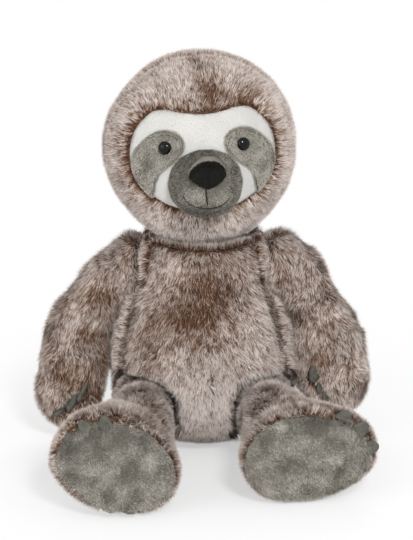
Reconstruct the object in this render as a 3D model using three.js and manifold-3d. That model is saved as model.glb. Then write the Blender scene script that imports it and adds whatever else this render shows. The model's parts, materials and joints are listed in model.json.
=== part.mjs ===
// A sitting plush sloth: sewn fabric panels round their stuffing, with felt claws, a felt nose and
// two safety eyes. Lengths are in millimetres. +X is the toy's own left, +Y its back and +Z up.
// The toy looks along -Y. The origin is the middle of the small flat that it sits on.
import * as THREE from 'three';
import { mergeVertices } from 'three/addons/utils/BufferGeometryUtils.js';
import Module from 'manifold-3d';

const wasm = await Module();
wasm.setup();

// Fabrics, thread and the room left between pieces
const furThickness = 5;
const napThickness = 1.6;
const feltThickness = 3;
const threadWidth = 1.2;
const seamGap = 0.3;
const overrun = 30;

// Torso
const torsoWidth = 138;
const torsoDepth = 112;
const torsoHeight = 170;
const torsoLean = 7;
const torsoFloorRound = 27;
const torsoShoulderRound = 16;
const floorCut = 0.5;

// Each joint's ball is open to its stuffing past this share of its radius
const openingShare = 0.68;

// Neck: the ball under the head, and how far the head nods
const neckRadius = 29;
const neckHeight = 150;
const neckRoom = 2.5;
const neckBack = 3;
const nodUp = THREE.MathUtils.degToRad(6);
const nodDown = THREE.MathUtils.degToRad(4);

// Head and face
const headWidth = 138;
const headDepth = 122;
const headHeight = 139;
const headTurn = THREE.MathUtils.degToRad(4);
const headTilt = THREE.MathUtils.degToRad(-2.2);
const maskWidth = 102;
const maskHeight = 73;
const maskRise = 70;
const patchWidth = 38;
const patchHeight = 48;
const patchDrop = 10;
const muzzleWidth = 51;
const muzzleHeight = 48;
const muzzleReach = 24;
const muzzleRise = 54;
const noseWidth = 24;
const noseHeight = 18;
const noseRise = 13.5;
const mouthWidth = 31;
const mouthDrop = 8;
const eyeDiameter = 9.2;
const eyeBulge = 3.4;
const eyeSpacing = 54;
const eyeRise = 81.5;
const shankDiameter = 3.2;
const shankLength = 11;
const washerDiameter = 13;
const washerThickness = 1.8;

// Arms
const shoulderRadius = 24;
const shoulderHeight = 133;
const armWidth = 54;
const armThickness = 36;
const armDrop = 119.5;
const armReach = 48;
const armForward = 13;
const armTipRound = 26;

// Legs and feet
const hipRadius = 26;
const hipRise = 7;
const hipSpread = 84;
const legWidth = 56;
const legRoom = 1.2;
const legRaise = THREE.MathUtils.degToRad(11);
const legLower = THREE.MathUtils.degToRad(16);
const legSpread = THREE.MathUtils.degToRad(12.5);
const legClose = THREE.MathUtils.degToRad(5);
const footLength = 93;
const footWidth = 69;
const footRound = 15;
const soleLength = 87;
const soleWidth = 63;
const soleDepth = 11;
const rightFootReach = 146;
const leftFootReach = 125;

// Claws
const clawWidth = 11;
const clawLength = 12;
const clawBevel = 0.8;

// How finely each form is drawn: rings along it and sides around it
const torsoRings = 10;
const torsoSides = 20;
const torsoFillRings = 6;
const torsoFillSides = 14;
const headRings = 10;
const headSides = 20;
const muzzleRings = 7;
const muzzleSides = 14;
const armRings = 10;
const armSides = 12;
const armFillRings = 6;
const armFillSides = 8;
const legRings = 10;
const legSides = 16;
const legFillRings = 7;
const legFillSides = 12;
const ballSides = 16;
const ballFillSides = 10;
const threadSides = 4;
const threadSteps = 18;

const X = new THREE.Vector3(1, 0, 0);
const Y = new THREE.Vector3(0, 1, 0);
const Z = new THREE.Vector3(0, 0, 1);

const fur = { color: 0x968980, roughness: 0.95, metalness: 0 };
const darkFur = { color: 0x685951, roughness: 0.95, metalness: 0 };
const white = { color: 0xe8e7e3, roughness: 0.9, metalness: 0 };
const grey = { color: 0x908b81, roughness: 0.9, metalness: 0 };
const felt = { color: 0x6c6b66, roughness: 1, metalness: 0 };
const black = { color: 0x1c1c19, roughness: 0.9, metalness: 0 };
const glossy = { color: 0x0a0a0a, roughness: 0.08, metalness: 0 };
const stuffing = { color: 0xf2f1ec, roughness: 1, metalness: 0 };
const plastic = { color: 0xd8d8d4, roughness: 0.5, metalness: 0 };
const sewing = { color: 0x5f564f, roughness: 0.8, metalness: 0 };

// Solids: closed meshes are joined, cut and turned back into geometry

function solidOf(geometry) {
  geometry.deleteAttribute('normal');
  geometry.deleteAttribute('uv');
  const merged = mergeVertices(geometry);
  return new wasm.Manifold(new wasm.Mesh({
    numProp: 3,
    vertProperties: new Float32Array(merged.attributes.position.array),
    triVerts: new Uint32Array(merged.index.array),
  }));
}

function geometryOf(solid) {
  const mesh = solid.getMesh();
  const geometry = new THREE.BufferGeometry();
  geometry.setAttribute('position', new THREE.BufferAttribute(mesh.vertProperties, 3));
  geometry.setIndex(new THREE.BufferAttribute(mesh.triVerts, 1));
  geometry.computeVertexNormals();
  return geometry;
}

function ball(radius, centre, sides) {
  const geometry = new THREE.SphereGeometry(radius, sides, sides / 2);
  geometry.rotateX(Math.PI / 2);
  geometry.translate(centre.x, centre.y, centre.z);
  return solidOf(geometry);
}

// A hollow that leaves a joint's ball and its thread free all round
function socket(radius, centre) {
  return ball((radius + socketRoom) / Math.cos(Math.PI / ballSides) ** 2, centre, ballSides);
}

function block(low, high) {
  const size = high.clone().sub(low);
  const middle = high.clone().add(low).multiplyScalar(0.5);
  const geometry = new THREE.BoxGeometry(size.x, size.y, size.z);
  geometry.translate(middle.x, middle.y, middle.z);
  return geometry;
}

// A bar of a smooth closed outline in X and Z, standing from nearY to farY
function bar(outline, nearY, farY) {
  const shape = new THREE.Shape(outline);
  const geometry = new THREE.ExtrudeGeometry(shape, { depth: farY - nearY, bevelEnabled: false });
  geometry.rotateX(Math.PI / 2);
  geometry.translate(0, farY, 0);
  return geometry;
}

// A smooth closed line through shares of a width and a height, grown outwards if asked
function smoothOutline(shares, width, height, middle, steps, grow = 0) {
  const corners = shares.map(([x, z]) => new THREE.Vector3(x * width / 2, z * height / 2, 0));
  const turning = THREE.ShapeUtils.isClockWise(corners) ? -1 : 1;
  const line = new THREE.CatmullRomCurve3(corners, true, 'centripetal');
  const points = [];
  for (let step = 0; step < steps; step += 1) {
    const point = line.getPoint(step / steps).add(new THREE.Vector3(middle.x, middle.y, 0));
    const along = line.getTangent(step / steps).multiplyScalar(turning * grow);
    points.push(new THREE.Vector2(point.x + along.y, point.y - along.x));
  }
  return points;
}

// Part of a whole turn of a rounded end: 0 at the tip, 1 where the end runs into the form
function roundEnd(distance, length, squareness) {
  if (distance >= length) {
    return 1;
  }
  const left = 1 - distance / length;
  return (1 - left ** squareness) ** (1 / squareness);
}

// A stuffed form. Its rings follow a spine, swell by shares of its width and depth, and close in a
// rounded end at each side. An inset draws the whole surface in, for the stuffing and the inner wall.
function stuffedForm(form, inset, rings, sides) {
  const { spine, across, shares, width, depth, startRound, endRound } = form;
  const squareness = form.squareness ?? 2.1;
  const endSquareness = form.endSquareness ?? 2;
  const length = spine.getLength();
  const places = shares.map((row) => row[0]);
  const sizes = shares.flatMap((row) => [row[1] * width / 2, row[2] * depth / 2]);
  const swell = new THREE.CubicInterpolant(places, sizes, 2, new Float64Array(2));
  const first = inset / length;
  const last = 1 - inset / length;
  const held = (share) => THREE.MathUtils.clamp(share, 0, 1);
  const direction = (share) => spine.getTangentAt(held(share));
  const place = (share) => spine.getPointAt(held(share))
    .addScaledVector(direction(share), (share - held(share)) * length);
  const points = [place(first)];
  for (let ring = 1; ring <= rings; ring += 1) {
    const even = ring / (rings + 1);
    const eased = (1 - Math.cos(Math.PI * even)) / 2;
    const along = THREE.MathUtils.lerp(first, last, THREE.MathUtils.lerp(even, eased, form.ease ?? 0.7));
    const [halfWidth, halfDepth] = swell.evaluate(along);
    const shrink = roundEnd((along - first) * length, startRound - inset, form.startSquareness ?? 2)
      * roundEnd((last - along) * length, endRound - inset, endSquareness);
    const middle = place(along);
    const forward = direction(along);
    const side = across.clone().addScaledVector(forward, -across.dot(forward)).normalize();
    const up = forward.clone().cross(side);
    for (let step = 0; step < sides; step += 1) {
      const turn = 2 * Math.PI * step / sides;
      const c = Math.cos(turn);
      const s = Math.sin(turn);
      const outX = Math.sign(c) * Math.abs(c) ** (2 / squareness) * (halfWidth - inset) * shrink;
      const outY = Math.sign(s) * Math.abs(s) ** (2 / squareness) * (halfDepth - inset) * shrink;
      points.push(middle.clone().addScaledVector(side, outX).addScaledVector(up, outY));
    }
  }
  points.push(place(last));
  const index = [];
  const end = points.length - 1;
  for (let step = 0; step < sides; step += 1) {
    const next = (step + 1) % sides;
    index.push(0, 1 + next, 1 + step);
    for (let ring = 0; ring < rings - 1; ring += 1) {
      const here = 1 + ring * sides;
      const there = here + sides;
      index.push(here + step, here + next, there + next, here + step, there + next, there + step);
    }
    const rim = 1 + (rings - 1) * sides;
    index.push(end, rim + step, rim + next);
  }
  const geometry = new THREE.BufferGeometry().setFromPoints(points);
  geometry.setIndex(index);
  return geometry;
}

function formSolid(form, inset, rings, sides) {
  return solidOf(stuffedForm(form, inset, rings, sides));
}

// Where a line along +Y first meets a surface
function frontPoint(geometry, x, z) {
  const from = new THREE.Vector3(x, -2 * headDepth, z);
  const mesh = new THREE.Mesh(geometry, new THREE.MeshBasicMaterial({ side: THREE.DoubleSide }));
  const hit = new THREE.Raycaster(from, Y).intersectObject(mesh)[0];
  return hit.point;
}

// Scene graph

const sloth = new THREE.Group();

function addPiece(name, solid, look, parent = sloth) {
  const mesh = new THREE.Mesh(geometryOf(solid), new THREE.MeshStandardMaterial(look));
  mesh.name = name;
  parent.add(mesh);
  return mesh;
}

// Places that more than one piece follows

const hipHeight = hipRadius + hipRise;
const neckCentre = new THREE.Vector3(0, neckBack, neckHeight);
const socketRoom = 2 * seamGap + 1.25 * threadWidth;

function shoulderCentre(side) {
  return new THREE.Vector3(side * 0.82 * torsoWidth / 2, torsoLean / 2, shoulderHeight);
}

function hipCentre(side) {
  return new THREE.Vector3(side * hipSpread / 2, -0.39 * torsoDepth / 2, hipHeight);
}

// Torso: two back panels and a front panel that runs under the seat, round one body of stuffing

const torsoForm = {
  spine: new THREE.CatmullRomCurve3([
    new THREE.Vector3(0, -torsoLean / 4, -floorCut),
    new THREE.Vector3(0, torsoLean / 5, torsoHeight / 2),
    new THREE.Vector3(0, -torsoLean / 2, torsoHeight),
  ]),
  across: X,
  width: torsoWidth,
  depth: torsoDepth,
  shares: [
    [0, 0.8, 0.82], [0.11, 0.92, 0.94], [0.31, 1, 1], [0.44, 0.975, 0.98], [0.6, 0.875, 0.91],
    [0.72, 0.78, 0.83], [0.82, 0.78, 0.79], [0.9, 0.77, 0.76], [0.96, 0.74, 0.73], [1, 0.7, 0.7],
  ],
  startRound: torsoFloorRound,
  endRound: torsoShoulderRound,
  squareness: 2.15,
};

const underFloor = solidOf(block(
  new THREE.Vector3(-2 * torsoWidth, -2 * torsoWidth, -overrun),
  new THREE.Vector3(2 * torsoWidth, 2 * torsoWidth, 0),
));

// The front panel's outline, as shares of half the torso's width and of its height
const frontPanelShares = [
  [0.56, 1.2], [0.54, 0.88], [0.6, 0.76], [0.74, 0.62], [0.83, 0.46], [0.86, 0.32], [0.7, 0.15], [0.42, 0.04],
  [0.4, -0.2],
];

function frontPanelOutline(grow) {
  const right = frontPanelShares.map(([x, z]) => new THREE.Vector2(x * torsoWidth / 2 + grow, z * torsoHeight));
  const left = right.map((point) => new THREE.Vector2(-point.x, point.y)).reverse();
  return [...left, ...right];
}

// The underside of the head as it nods, grown by a margin: the top of the torso is hollowed to it
function headSweep(margin) {
  let sweep = null;
  for (const nod of [-nodUp, nodDown]) {
    const geometry = new THREE.SphereGeometry(1, headSides, headSides / 2);
    geometry.rotateX(Math.PI / 2);
    geometry.scale(headWidth / 2 + margin, headWidth / 2 + margin, headHeight / 2 + margin);
    geometry.translate(0, -headDepth / 40, headHeight / 2);
    geometry.rotateX(nod);
    geometry.translate(neckCentre.x, neckCentre.y, neckCentre.z);
    const solid = solidOf(geometry);
    sweep = sweep ? sweep.add(solid) : solid;
  }
  return sweep;
}

function makeTorso() {
  const seatBack = torsoDepth / 8;
  let whole = formSolid(torsoForm, 0, torsoRings, torsoSides).subtract(underFloor).subtract(headSweep(neckRoom));
  let hollow = formSolid(torsoForm, furThickness, torsoFillRings, torsoFillSides);
  hollow = hollow.subtract(headSweep(neckRoom + furThickness));
  let stuffed = formSolid(torsoForm, furThickness + seamGap, torsoFillRings, torsoFillSides);
  stuffed = stuffed.subtract(headSweep(neckRoom + furThickness + seamGap));
  const sockets = [socket(neckRadius, neckCentre)];
  for (const side of [-1, 1]) {
    sockets.push(socket(shoulderRadius, shoulderCentre(side)));
    sockets.push(socket(hipRadius, hipCentre(side)));
    sockets.push(legSweep(side < 0 ? 'right' : 'left', side));
  }
  for (const room of sockets) {
    whole = whole.subtract(room);
    stuffed = stuffed.subtract(room);
  }
  const skin = whole.subtract(hollow);
  const frontRoom = bar(frontPanelOutline(seamGap), -torsoDepth, seatBack + seamGap);
  const front = skin.intersect(solidOf(bar(frontPanelOutline(0), -torsoDepth, seatBack)));
  const rest = skin.subtract(solidOf(frontRoom));
  addPiece('torso_front_panel', front, fur);
  for (const [name, side] of [['torso_back_left', 1], ['torso_back_right', -1]]) {
    const inner = side * seamGap / 2;
    const outer = side * torsoWidth;
    const half = block(
      new THREE.Vector3(Math.min(inner, outer), -torsoDepth, -overrun),
      new THREE.Vector3(Math.max(inner, outer), torsoDepth, torsoHeight + overrun),
    );
    addPiece(name, rest.intersect(solidOf(half)), fur);
  }
  addPiece('torso_fill', stuffed, stuffing);
}

// The root of a leg as it is raised, lowered and spread: the torso is cut back from it
function legSweep(name, side) {
  const { form, centre } = legForm(name, side);
  const moves = [[0, 0], [legRaise, legSpread], [legRaise, -legClose], [-legLower, legSpread], [-legLower, -legClose]];
  let sweep = null;
  for (const [raise, spread] of moves) {
    const geometry = stuffedForm(form, -legRoom, legFillRings, legFillSides);
    geometry.translate(-centre.x, -centre.y, -centre.z);
    geometry.rotateZ(side * spread);
    geometry.rotateX(-raise);
    geometry.translate(centre.x, centre.y, centre.z);
    const solid = solidOf(geometry);
    sweep = sweep ? sweep.add(solid) : solid;
  }
  return sweep;
}

// A ring of sewing thread round a ball joint
function threadRing(name, centre, radius, axis) {
  const geometry = new THREE.TorusGeometry(radius, threadWidth / 2, threadSides, threadSteps);
  geometry.applyQuaternion(new THREE.Quaternion().setFromUnitVectors(Z, axis));
  geometry.translate(centre.x, centre.y, centre.z);
  addPiece(name, solidOf(geometry), sewing);
}

function jointThread(name, centre, radius, axis, offset) {
  const reach = radius + seamGap + threadWidth / 2;
  const ringRadius = Math.sqrt(reach ** 2 - offset ** 2) / Math.cos(Math.PI / threadSteps);
  threadRing(name, centre.clone().addScaledVector(axis, offset), ringRadius, axis);
}

// Head: everything here stands in the head's own frame, with its origin at the middle of the neck

const head = new THREE.Group();
head.position.copy(neckCentre);
head.rotation.set(0, headTilt, headTurn, 'ZYX');
sloth.add(head);

const headForm = {
  spine: new THREE.LineCurve3(
    new THREE.Vector3(0, -headDepth / 40, 0),
    new THREE.Vector3(0, -headDepth / 40, headHeight),
  ),
  across: X,
  width: headWidth,
  depth: headDepth,
  shares: [[0, 0.9, 0.93], [0.2, 0.95, 0.97], [0.35, 0.99, 1], [0.5, 1, 1], [0.75, 1.02, 1.01], [1, 1.05, 1.02]],
  startRound: headHeight / 2,
  endRound: headHeight / 2,
  startSquareness: 2.15,
  squareness: 2.05,
  ease: 1,
};

// The white mask: two round lobes over the brows, a dip between them, and a chin behind the muzzle
const maskOutlineShares = [
  [0, 0.9], [0.25, 0.93], [0.5, 0.985], [0.66, 0.95], [0.8, 0.8], [0.92, 0.58], [0.985, 0.32], [1, 0.08],
  [0.975, -0.15], [0.91, -0.36], [0.8, -0.56], [0.63, -0.74], [0.42, -0.88], [0, -1],
];

// A grey eye patch, from the bridge of the nose out and down to the edge of the mask
const patchOutlineShares = [
  [-0.68, 0.41], [-0.66, 0.63], [-0.42, 0.82], [0.02, 0.88], [0.4, 0.79], [0.75, 0.57], [1.25, 0.3], [1.5, -0.2],
  [1.3, -0.75], [0.8, -1.25], [0.5, -1.2], [0.46, -0.94], [0.39, -0.64], [0.21, -0.35], [-0.1, -0.13], [-0.53, 0.17],
];

function mirrored(shares) {
  const other = shares.filter(([x]) => x !== 0).map(([x, z]) => [-x, z]).reverse();
  return [...shares, ...other];
}

const muzzleForm = {
  spine: new THREE.LineCurve3(
    new THREE.Vector3(0, -headDepth / 4, muzzleRise),
    new THREE.Vector3(0, -headDepth / 2 - muzzleReach, muzzleRise + muzzleReach / 7),
  ),
  across: X,
  width: muzzleWidth,
  depth: muzzleHeight,
  shares: [[0, 1, 0.96], [0.35, 1, 1], [0.6, 0.94, 0.95], [0.85, 0.84, 0.86], [1, 0.76, 0.8]],
  startRound: muzzleReach / 3,
  endRound: muzzleReach * 0.95,
  endSquareness: 2.3,
  squareness: 2.1,
  ease: 0.55,
};

const noseOutlineShares = [
  [0.1, 1], [-0.35, 0.88], [-0.85, 0.3], [-1, -0.12], [-0.72, -0.55], [0, -1], [0.72, -0.55], [1, -0.12], [0.9, 0.45],
  [0.55, 0.9],
];

function maskMiddle() {
  return new THREE.Vector2(0, maskRise);
}

function patchMiddle() {
  return new THREE.Vector2(eyeSpacing / 2, eyeRise - patchDrop);
}

function faceBar(shares, width, height, middle, steps, grow) {
  const outline = smoothOutline(shares, width, height, middle, steps, grow);
  return solidOf(bar(outline, -headDepth - muzzleReach, -headDepth / 20));
}

function mirrorX(solid) {
  return solid.mirror([1, 0, 0]);
}

// A safety eye: a domed button on a shank, pressed through the cloth and held by a washer
function eyeProfile(grow) {
  const radius = eyeDiameter / 2 + grow;
  const shank = shankDiameter / 2 + grow;
  const profile = [new THREE.Vector2(0, -shankLength - grow), new THREE.Vector2(shank, -shankLength - grow)];
  profile.push(new THREE.Vector2(shank, -napThickness / 2 - grow), new THREE.Vector2(radius, -napThickness / 2 - grow));
  const steps = 4;
  for (let step = 1; step <= steps; step += 1) {
    const turn = step / steps * Math.PI / 2;
    profile.push(new THREE.Vector2(step < steps ? radius * Math.cos(turn) : 0, (eyeBulge + grow) * Math.sin(turn)));
  }
  return profile;
}

function washerProfile(grow) {
  const inner = shankDiameter / 2 + seamGap - grow;
  const outer = washerDiameter / 2 + grow;
  const top = -shankLength * 0.55 + grow;
  const bottom = -shankLength * 0.55 - washerThickness - grow;
  return [
    new THREE.Vector2(inner, bottom), new THREE.Vector2(outer, bottom), new THREE.Vector2(outer, top),
    new THREE.Vector2(inner, top), new THREE.Vector2(inner, bottom),
  ];
}

// A turned piece that stands at an eye's seat and points out of the face
function atEye(profile, side, seat) {
  const geometry = new THREE.LatheGeometry(profile, 10);
  const out = new THREE.Vector3(side * 0.28, -1, 0.12).normalize();
  geometry.applyQuaternion(new THREE.Quaternion().setFromUnitVectors(Y, out));
  geometry.translate(seat.x, seat.y, seat.z);
  return solidOf(geometry);
}

// A narrow line of thread that lies on the muzzle, from the points of its middle line
function muzzleThread(points, width) {
  const line = new THREE.CatmullRomCurve3(points.map(([x, z]) => new THREE.Vector3(x, z, 0)));
  const steps = 4 * (points.length - 1);
  const left = [];
  const right = [];
  for (let step = 0; step <= steps; step += 1) {
    const point = line.getPoint(step / steps);
    const along = line.getTangent(step / steps);
    left.push(new THREE.Vector2(point.x - along.y * width / 2, point.y + along.x * width / 2));
    right.unshift(new THREE.Vector2(point.x + along.y * width / 2, point.y - along.x * width / 2));
  }
  return solidOf(bar([...left, ...right], -headDepth - muzzleReach, -headDepth / 2));
}

function makeHead() {
  const origin = new THREE.Vector3();
  const patchTop = furThickness - 2 * napThickness - seamGap;
  const maskTop = furThickness - napThickness;
  const layer = (inset) => formSolid(headForm, inset, headRings, headSides);
  const outer = layer(0).add(ball(neckRadius, origin, ballSides));
  const underFur = layer(furThickness).add(ball(neckRadius - furThickness, origin, ballFillSides));
  const opening = solidOf(block(
    new THREE.Vector3(-neckRadius, -neckRadius, -neckRadius),
    new THREE.Vector3(neckRadius, neckRadius, -openingShare * neckRadius),
  ));
  const maskOuter = layer(maskTop);
  const patchOuter = layer(patchTop);
  const patchInner = layer(patchTop + napThickness);
  const muzzleOuter = formSolid(muzzleForm, 0, muzzleRings, muzzleSides);
  const muzzleRoom = formSolid(muzzleForm, -seamGap, muzzleRings, muzzleSides);
  const maskBar = faceBar(mirrored(maskOutlineShares), maskWidth, maskHeight, maskMiddle(), 32, 0);
  const maskRoom = faceBar(mirrored(maskOutlineShares), maskWidth, maskHeight, maskMiddle(), 32, seamGap);

  // The fur hood: two front panels that meet over the forehead and chin, and a back panel
  const hood = outer.subtract(underFur).subtract(opening).subtract(muzzleRoom);
  const sideSeam = -headDepth / 12;
  const far = headHeight + overrun;
  const hoodFront = hood.subtract(maskRoom);
  for (const [name, side] of [['head_front_left', 1], ['head_front_right', -1]]) {
    const inner = side * seamGap / 2;
    const half = block(
      new THREE.Vector3(Math.min(inner, side * far), -far, -far),
      new THREE.Vector3(Math.max(inner, side * far), sideSeam, far),
    );
    addPiece(name, hoodFront.intersect(solidOf(half)), fur, head);
  }
  const backHalf = block(new THREE.Vector3(-far, sideSeam + seamGap, -far), new THREE.Vector3(far, far, far));
  addPiece('head_back', hood.intersect(solidOf(backHalf)), fur, head);

  // Eyes first, because the patches, the mask and the stuffing leave room for them
  const patchSurface = stuffedForm(headForm, patchTop, headRings, headSides);
  let eyeRoom = null;
  for (const [name, side] of [['left_eye', 1], ['right_eye', -1]]) {
    const seat = frontPoint(patchSurface, side * eyeSpacing / 2, eyeRise);
    addPiece(name, atEye(eyeProfile(0), side, seat), glossy, head);
    addPiece(`${name}_washer`, atEye(washerProfile(0), side, seat), plastic, head);
    const room = atEye(eyeProfile(seamGap), side, seat).add(atEye(washerProfile(2 * seamGap), side, seat));
    eyeRoom = eyeRoom ? eyeRoom.add(room) : room;
  }

  const mask = maskOuter.subtract(underFur).intersect(maskBar).subtract(muzzleRoom).subtract(eyeRoom);
  addPiece('face_mask', mask, white, head);
  const patchBar = faceBar(patchOutlineShares, patchWidth, patchHeight, patchMiddle(), 28, 0).intersect(maskBar);
  const patchShell = patchOuter.subtract(patchInner).subtract(muzzleRoom).subtract(eyeRoom);
  addPiece('left_eye_patch', patchShell.intersect(patchBar), grey, head);
  addPiece('right_eye_patch', patchShell.intersect(mirrorX(patchBar)), grey, head);

  // The muzzle is a stuffed cone of grey cloth, let into the mask
  const muzzleCore = formSolid(muzzleForm, napThickness, muzzleRings, muzzleSides);
  addPiece('muzzle', muzzleOuter.subtract(muzzleCore).subtract(underFur), grey, head);
  const noseMiddle = new THREE.Vector2(0, muzzleRise + noseRise);
  const noseBack = -headDepth / 2 - muzzleReach / 4;
  const noseOutline = smoothOutline(noseOutlineShares, noseWidth, noseHeight, noseMiddle, 22);
  const noseBar = solidOf(bar(noseOutline, -headDepth - muzzleReach, noseBack));
  const noseSkin = formSolid(muzzleForm, -seamGap - feltThickness, muzzleRings, muzzleSides).subtract(muzzleRoom);
  addPiece('nose', noseSkin.intersect(noseBar), black, head);
  const threadSkin = formSolid(muzzleForm, -seamGap - threadWidth, muzzleRings, muzzleSides).subtract(muzzleRoom);
  const lipTop = noseMiddle.y - noseHeight / 2 - threadWidth;
  const lipBottom = lipTop - noseHeight / 2;
  const lip = muzzleThread([[0, lipTop], [0, (lipTop + lipBottom) / 2], [0, lipBottom]], threadWidth);
  addPiece('lip_stitch', threadSkin.intersect(lip), black, head);
  const mouthLow = lipBottom - 2 * threadWidth;
  const half = mouthWidth / 2;
  const mouth = muzzleThread([
    [-half, mouthLow + mouthDrop], [-0.75 * half, mouthLow + 0.35 * mouthDrop], [-0.35 * half, mouthLow],
    [0.35 * half, mouthLow], [0.75 * half, mouthLow + 0.35 * mouthDrop], [half, mouthLow + mouthDrop],
  ], threadWidth);
  addPiece('mouth_stitch', threadSkin.intersect(mouth), black, head);

  const skull = layer(furThickness + seamGap).add(ball(neckRadius - furThickness - seamGap, origin, ballFillSides));
  const neckPlug = ball(neckRadius, origin, ballSides).intersect(opening.translate([0, 0, -seamGap]));
  const muzzleFill = formSolid(muzzleForm, napThickness + seamGap, muzzleRings, muzzleSides);
  addPiece('head_fill', skull.add(neckPlug).add(muzzleFill).subtract(eyeRoom), stuffing, head);
}

// A felt claw: a rounded triangle of padded felt, root at the origin, tip along +Z, facing -Y
function clawGeometry(grow) {
  const half = clawWidth / 2 - clawBevel;
  const root = -clawLength / 4 + clawBevel;
  const tip = 0.7 * clawLength;
  const shape = new THREE.Shape();
  shape.moveTo(-half, root);
  shape.lineTo(half, root);
  shape.quadraticCurveTo(half, 0.45 * tip, 0.3 * half, 0.95 * tip);
  shape.lineTo(-0.3 * half, 0.95 * tip);
  shape.quadraticCurveTo(-half, 0.45 * tip, -half, root);
  const thick = feltThickness - 2 * clawBevel;
  const geometry = new THREE.ExtrudeGeometry(shape, {
    depth: thick, curveSegments: 3, bevelSize: clawBevel + grow, bevelThickness: clawBevel + grow, bevelSegments: 1,
  });
  geometry.translate(0, 0, -thick / 2);
  geometry.rotateX(Math.PI / 2);
  return geometry;
}

// A claw whose root is at a place, whose tip points along one direction and whose face looks along another
function claw(place, tip, face, grow = 0) {
  const up = tip.clone().normalize();
  const back = face.clone().addScaledVector(up, -face.dot(up)).normalize().negate();
  const side = back.clone().cross(up);
  const geometry = clawGeometry(grow);
  geometry.applyMatrix4(new THREE.Matrix4().makeBasis(side, back, up));
  geometry.translate(place.x, place.y, place.z);
  return solidOf(geometry);
}

// A limb's solids: the whole form, the hollow under the fur and the stuffing, which swells out to the
// full ball where the limb is sewn to the torso
function limbSolids(form, centre, radius, inward, counts) {
  const [rings, sides, fillRings, fillSides] = counts;
  const full = formSolid(form, 0, rings, sides).add(ball(radius, centre, ballSides)).subtract(underFloor);
  const inside = (inset) => formSolid(form, inset, fillRings, fillSides)
    .add(ball(radius - inset, centre, ballFillSides));
  const hollow = inside(furThickness);
  const core = inside(furThickness + seamGap);
  const mouthAt = openingShare * radius;
  const size = 2 * radius;
  const open = (extra) => {
    const box = block(new THREE.Vector3(-size, -size, mouthAt + extra), new THREE.Vector3(size, size, size));
    box.applyQuaternion(new THREE.Quaternion().setFromUnitVectors(Z, inward));
    box.translate(centre.x, centre.y, centre.z);
    return solidOf(box);
  };
  const mouthBall = ball(radius, centre, ballSides);
  return {
    full,
    skin: full.subtract(hollow).subtract(open(0)),
    fill: core.add(mouthBall.intersect(open(seamGap))),
  };
}

// Cut a limb's skin along its two long seams, by a plane through the limb
function halves(skin, centre, facing, far) {
  const turn = new THREE.Quaternion().setFromUnitVectors(Y, facing);
  return [1, -1].map((sign) => {
    const near = sign * seamGap / 2;
    const box = block(
      new THREE.Vector3(-far, Math.min(near, sign * far), -far),
      new THREE.Vector3(far, Math.max(near, sign * far), far),
    );
    box.applyQuaternion(turn);
    box.translate(centre.x, centre.y, centre.z);
    return skin.intersect(solidOf(box));
  });
}

// Arms: the spine's shares of reach, forward lean and drop, from the shoulder to the tip of the hand
const armSpineShares = {
  right: [
    [0, 0, 0], [0.24, 0, 0.055], [0.45, 0, 0.15], [0.585, 0.05, 0.25], [0.71, 0.15, 0.35], [0.775, 0.3, 0.45],
    [0.828, 0.45, 0.552], [0.852, 0.6, 0.653], [0.898, 0.75, 0.762], [0.94, 0.9, 0.87], [1, 1, 1],
  ],
  left: [
    [0, 0, 0], [0.26, 0, 0.05], [0.45, 0.05, 0.15], [0.56, 0.1, 0.25], [0.69, 0.2, 0.35], [0.775, 0.35, 0.45],
    [0.835, 0.5, 0.552], [0.85, 0.65, 0.653], [0.86, 0.8, 0.762], [0.88, 0.9, 0.862], [0.9, 1, 0.967],
  ],
};

// Claws on the hand: shares of reach and drop for the root, then the way each tip points
const handClawShares = {
  right: [[0.74, 0.78, [-0.3, -0.7, -0.7]], [0.94, 0.86, [-0.35, -0.65, -0.75]], [1.14, 0.94, [-0.4, -0.6, -0.8]]],
  left: [[0.6, 0.74, [-0.3, -0.6, -0.8]], [0.78, 0.84, [-0.2, -0.6, -0.85]], [0.95, 0.9, [-0.1, -0.6, -0.9]]],
};

function makeArm(name, side) {
  const centre = shoulderCentre(side);
  const points = armSpineShares[name].map(([reach, forward, drop]) => new THREE.Vector3(
    centre.x + side * reach * armReach,
    centre.y - forward * armForward,
    centre.z - drop * armDrop,
  ));
  const form = {
    spine: new THREE.CatmullRomCurve3(points, false, 'centripetal'),
    across: X,
    width: armWidth,
    depth: armThickness,
    shares: [
      [0, 0.86, 1.1], [0.12, 0.83, 1.04], [0.215, 0.705, 1], [0.31, 0.76, 1], [0.41, 0.9, 1], [0.5, 0.97, 1],
      [0.6, 1.01, 1], [0.7, 1.02, 0.98], [0.8, 1.01, 0.95], [1, 0.88, 0.86],
    ],
    startRound: shoulderRadius / 2,
    endRound: armTipRound,
    squareness: 2.2,
    ease: 0.6,
  };
  const inward = new THREE.Vector3(-side, 0, 0);
  const armCounts = [armRings, armSides, armFillRings, armFillSides];
  const solids = limbSolids(form, centre, shoulderRadius, inward, armCounts);
  let { skin, fill } = solids;
  handClawShares[name].forEach(([reach, drop, way], number) => {
    const x = centre.x + side * reach * armReach;
    const root = frontPoint(stuffedForm(form, 0, armRings, armSides), x, centre.z - drop * armDrop);
    const tip = new THREE.Vector3(...way);
    const face = new THREE.Vector3(side, -0.4, 0.4);
    addPiece(`${name}_hand_claw_${number + 1}`, claw(root, tip, face), felt);
    const room = claw(root, tip, face, seamGap);
    skin = skin.subtract(room);
    fill = fill.subtract(room);
  });
  const seamFacing = new THREE.Vector3(0, armDrop, -armForward).normalize();
  const [back, front] = halves(skin, centre, seamFacing, 2 * armDrop);
  addPiece(`${name}_arm_front`, front, fur);
  addPiece(`${name}_arm_back`, back, fur);
  addPiece(`${name}_arm_fill`, fill, stuffing);
  jointThread(`${name}_shoulder_thread`, centre, shoulderRadius, inward, shoulderRadius / 3);
}

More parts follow.
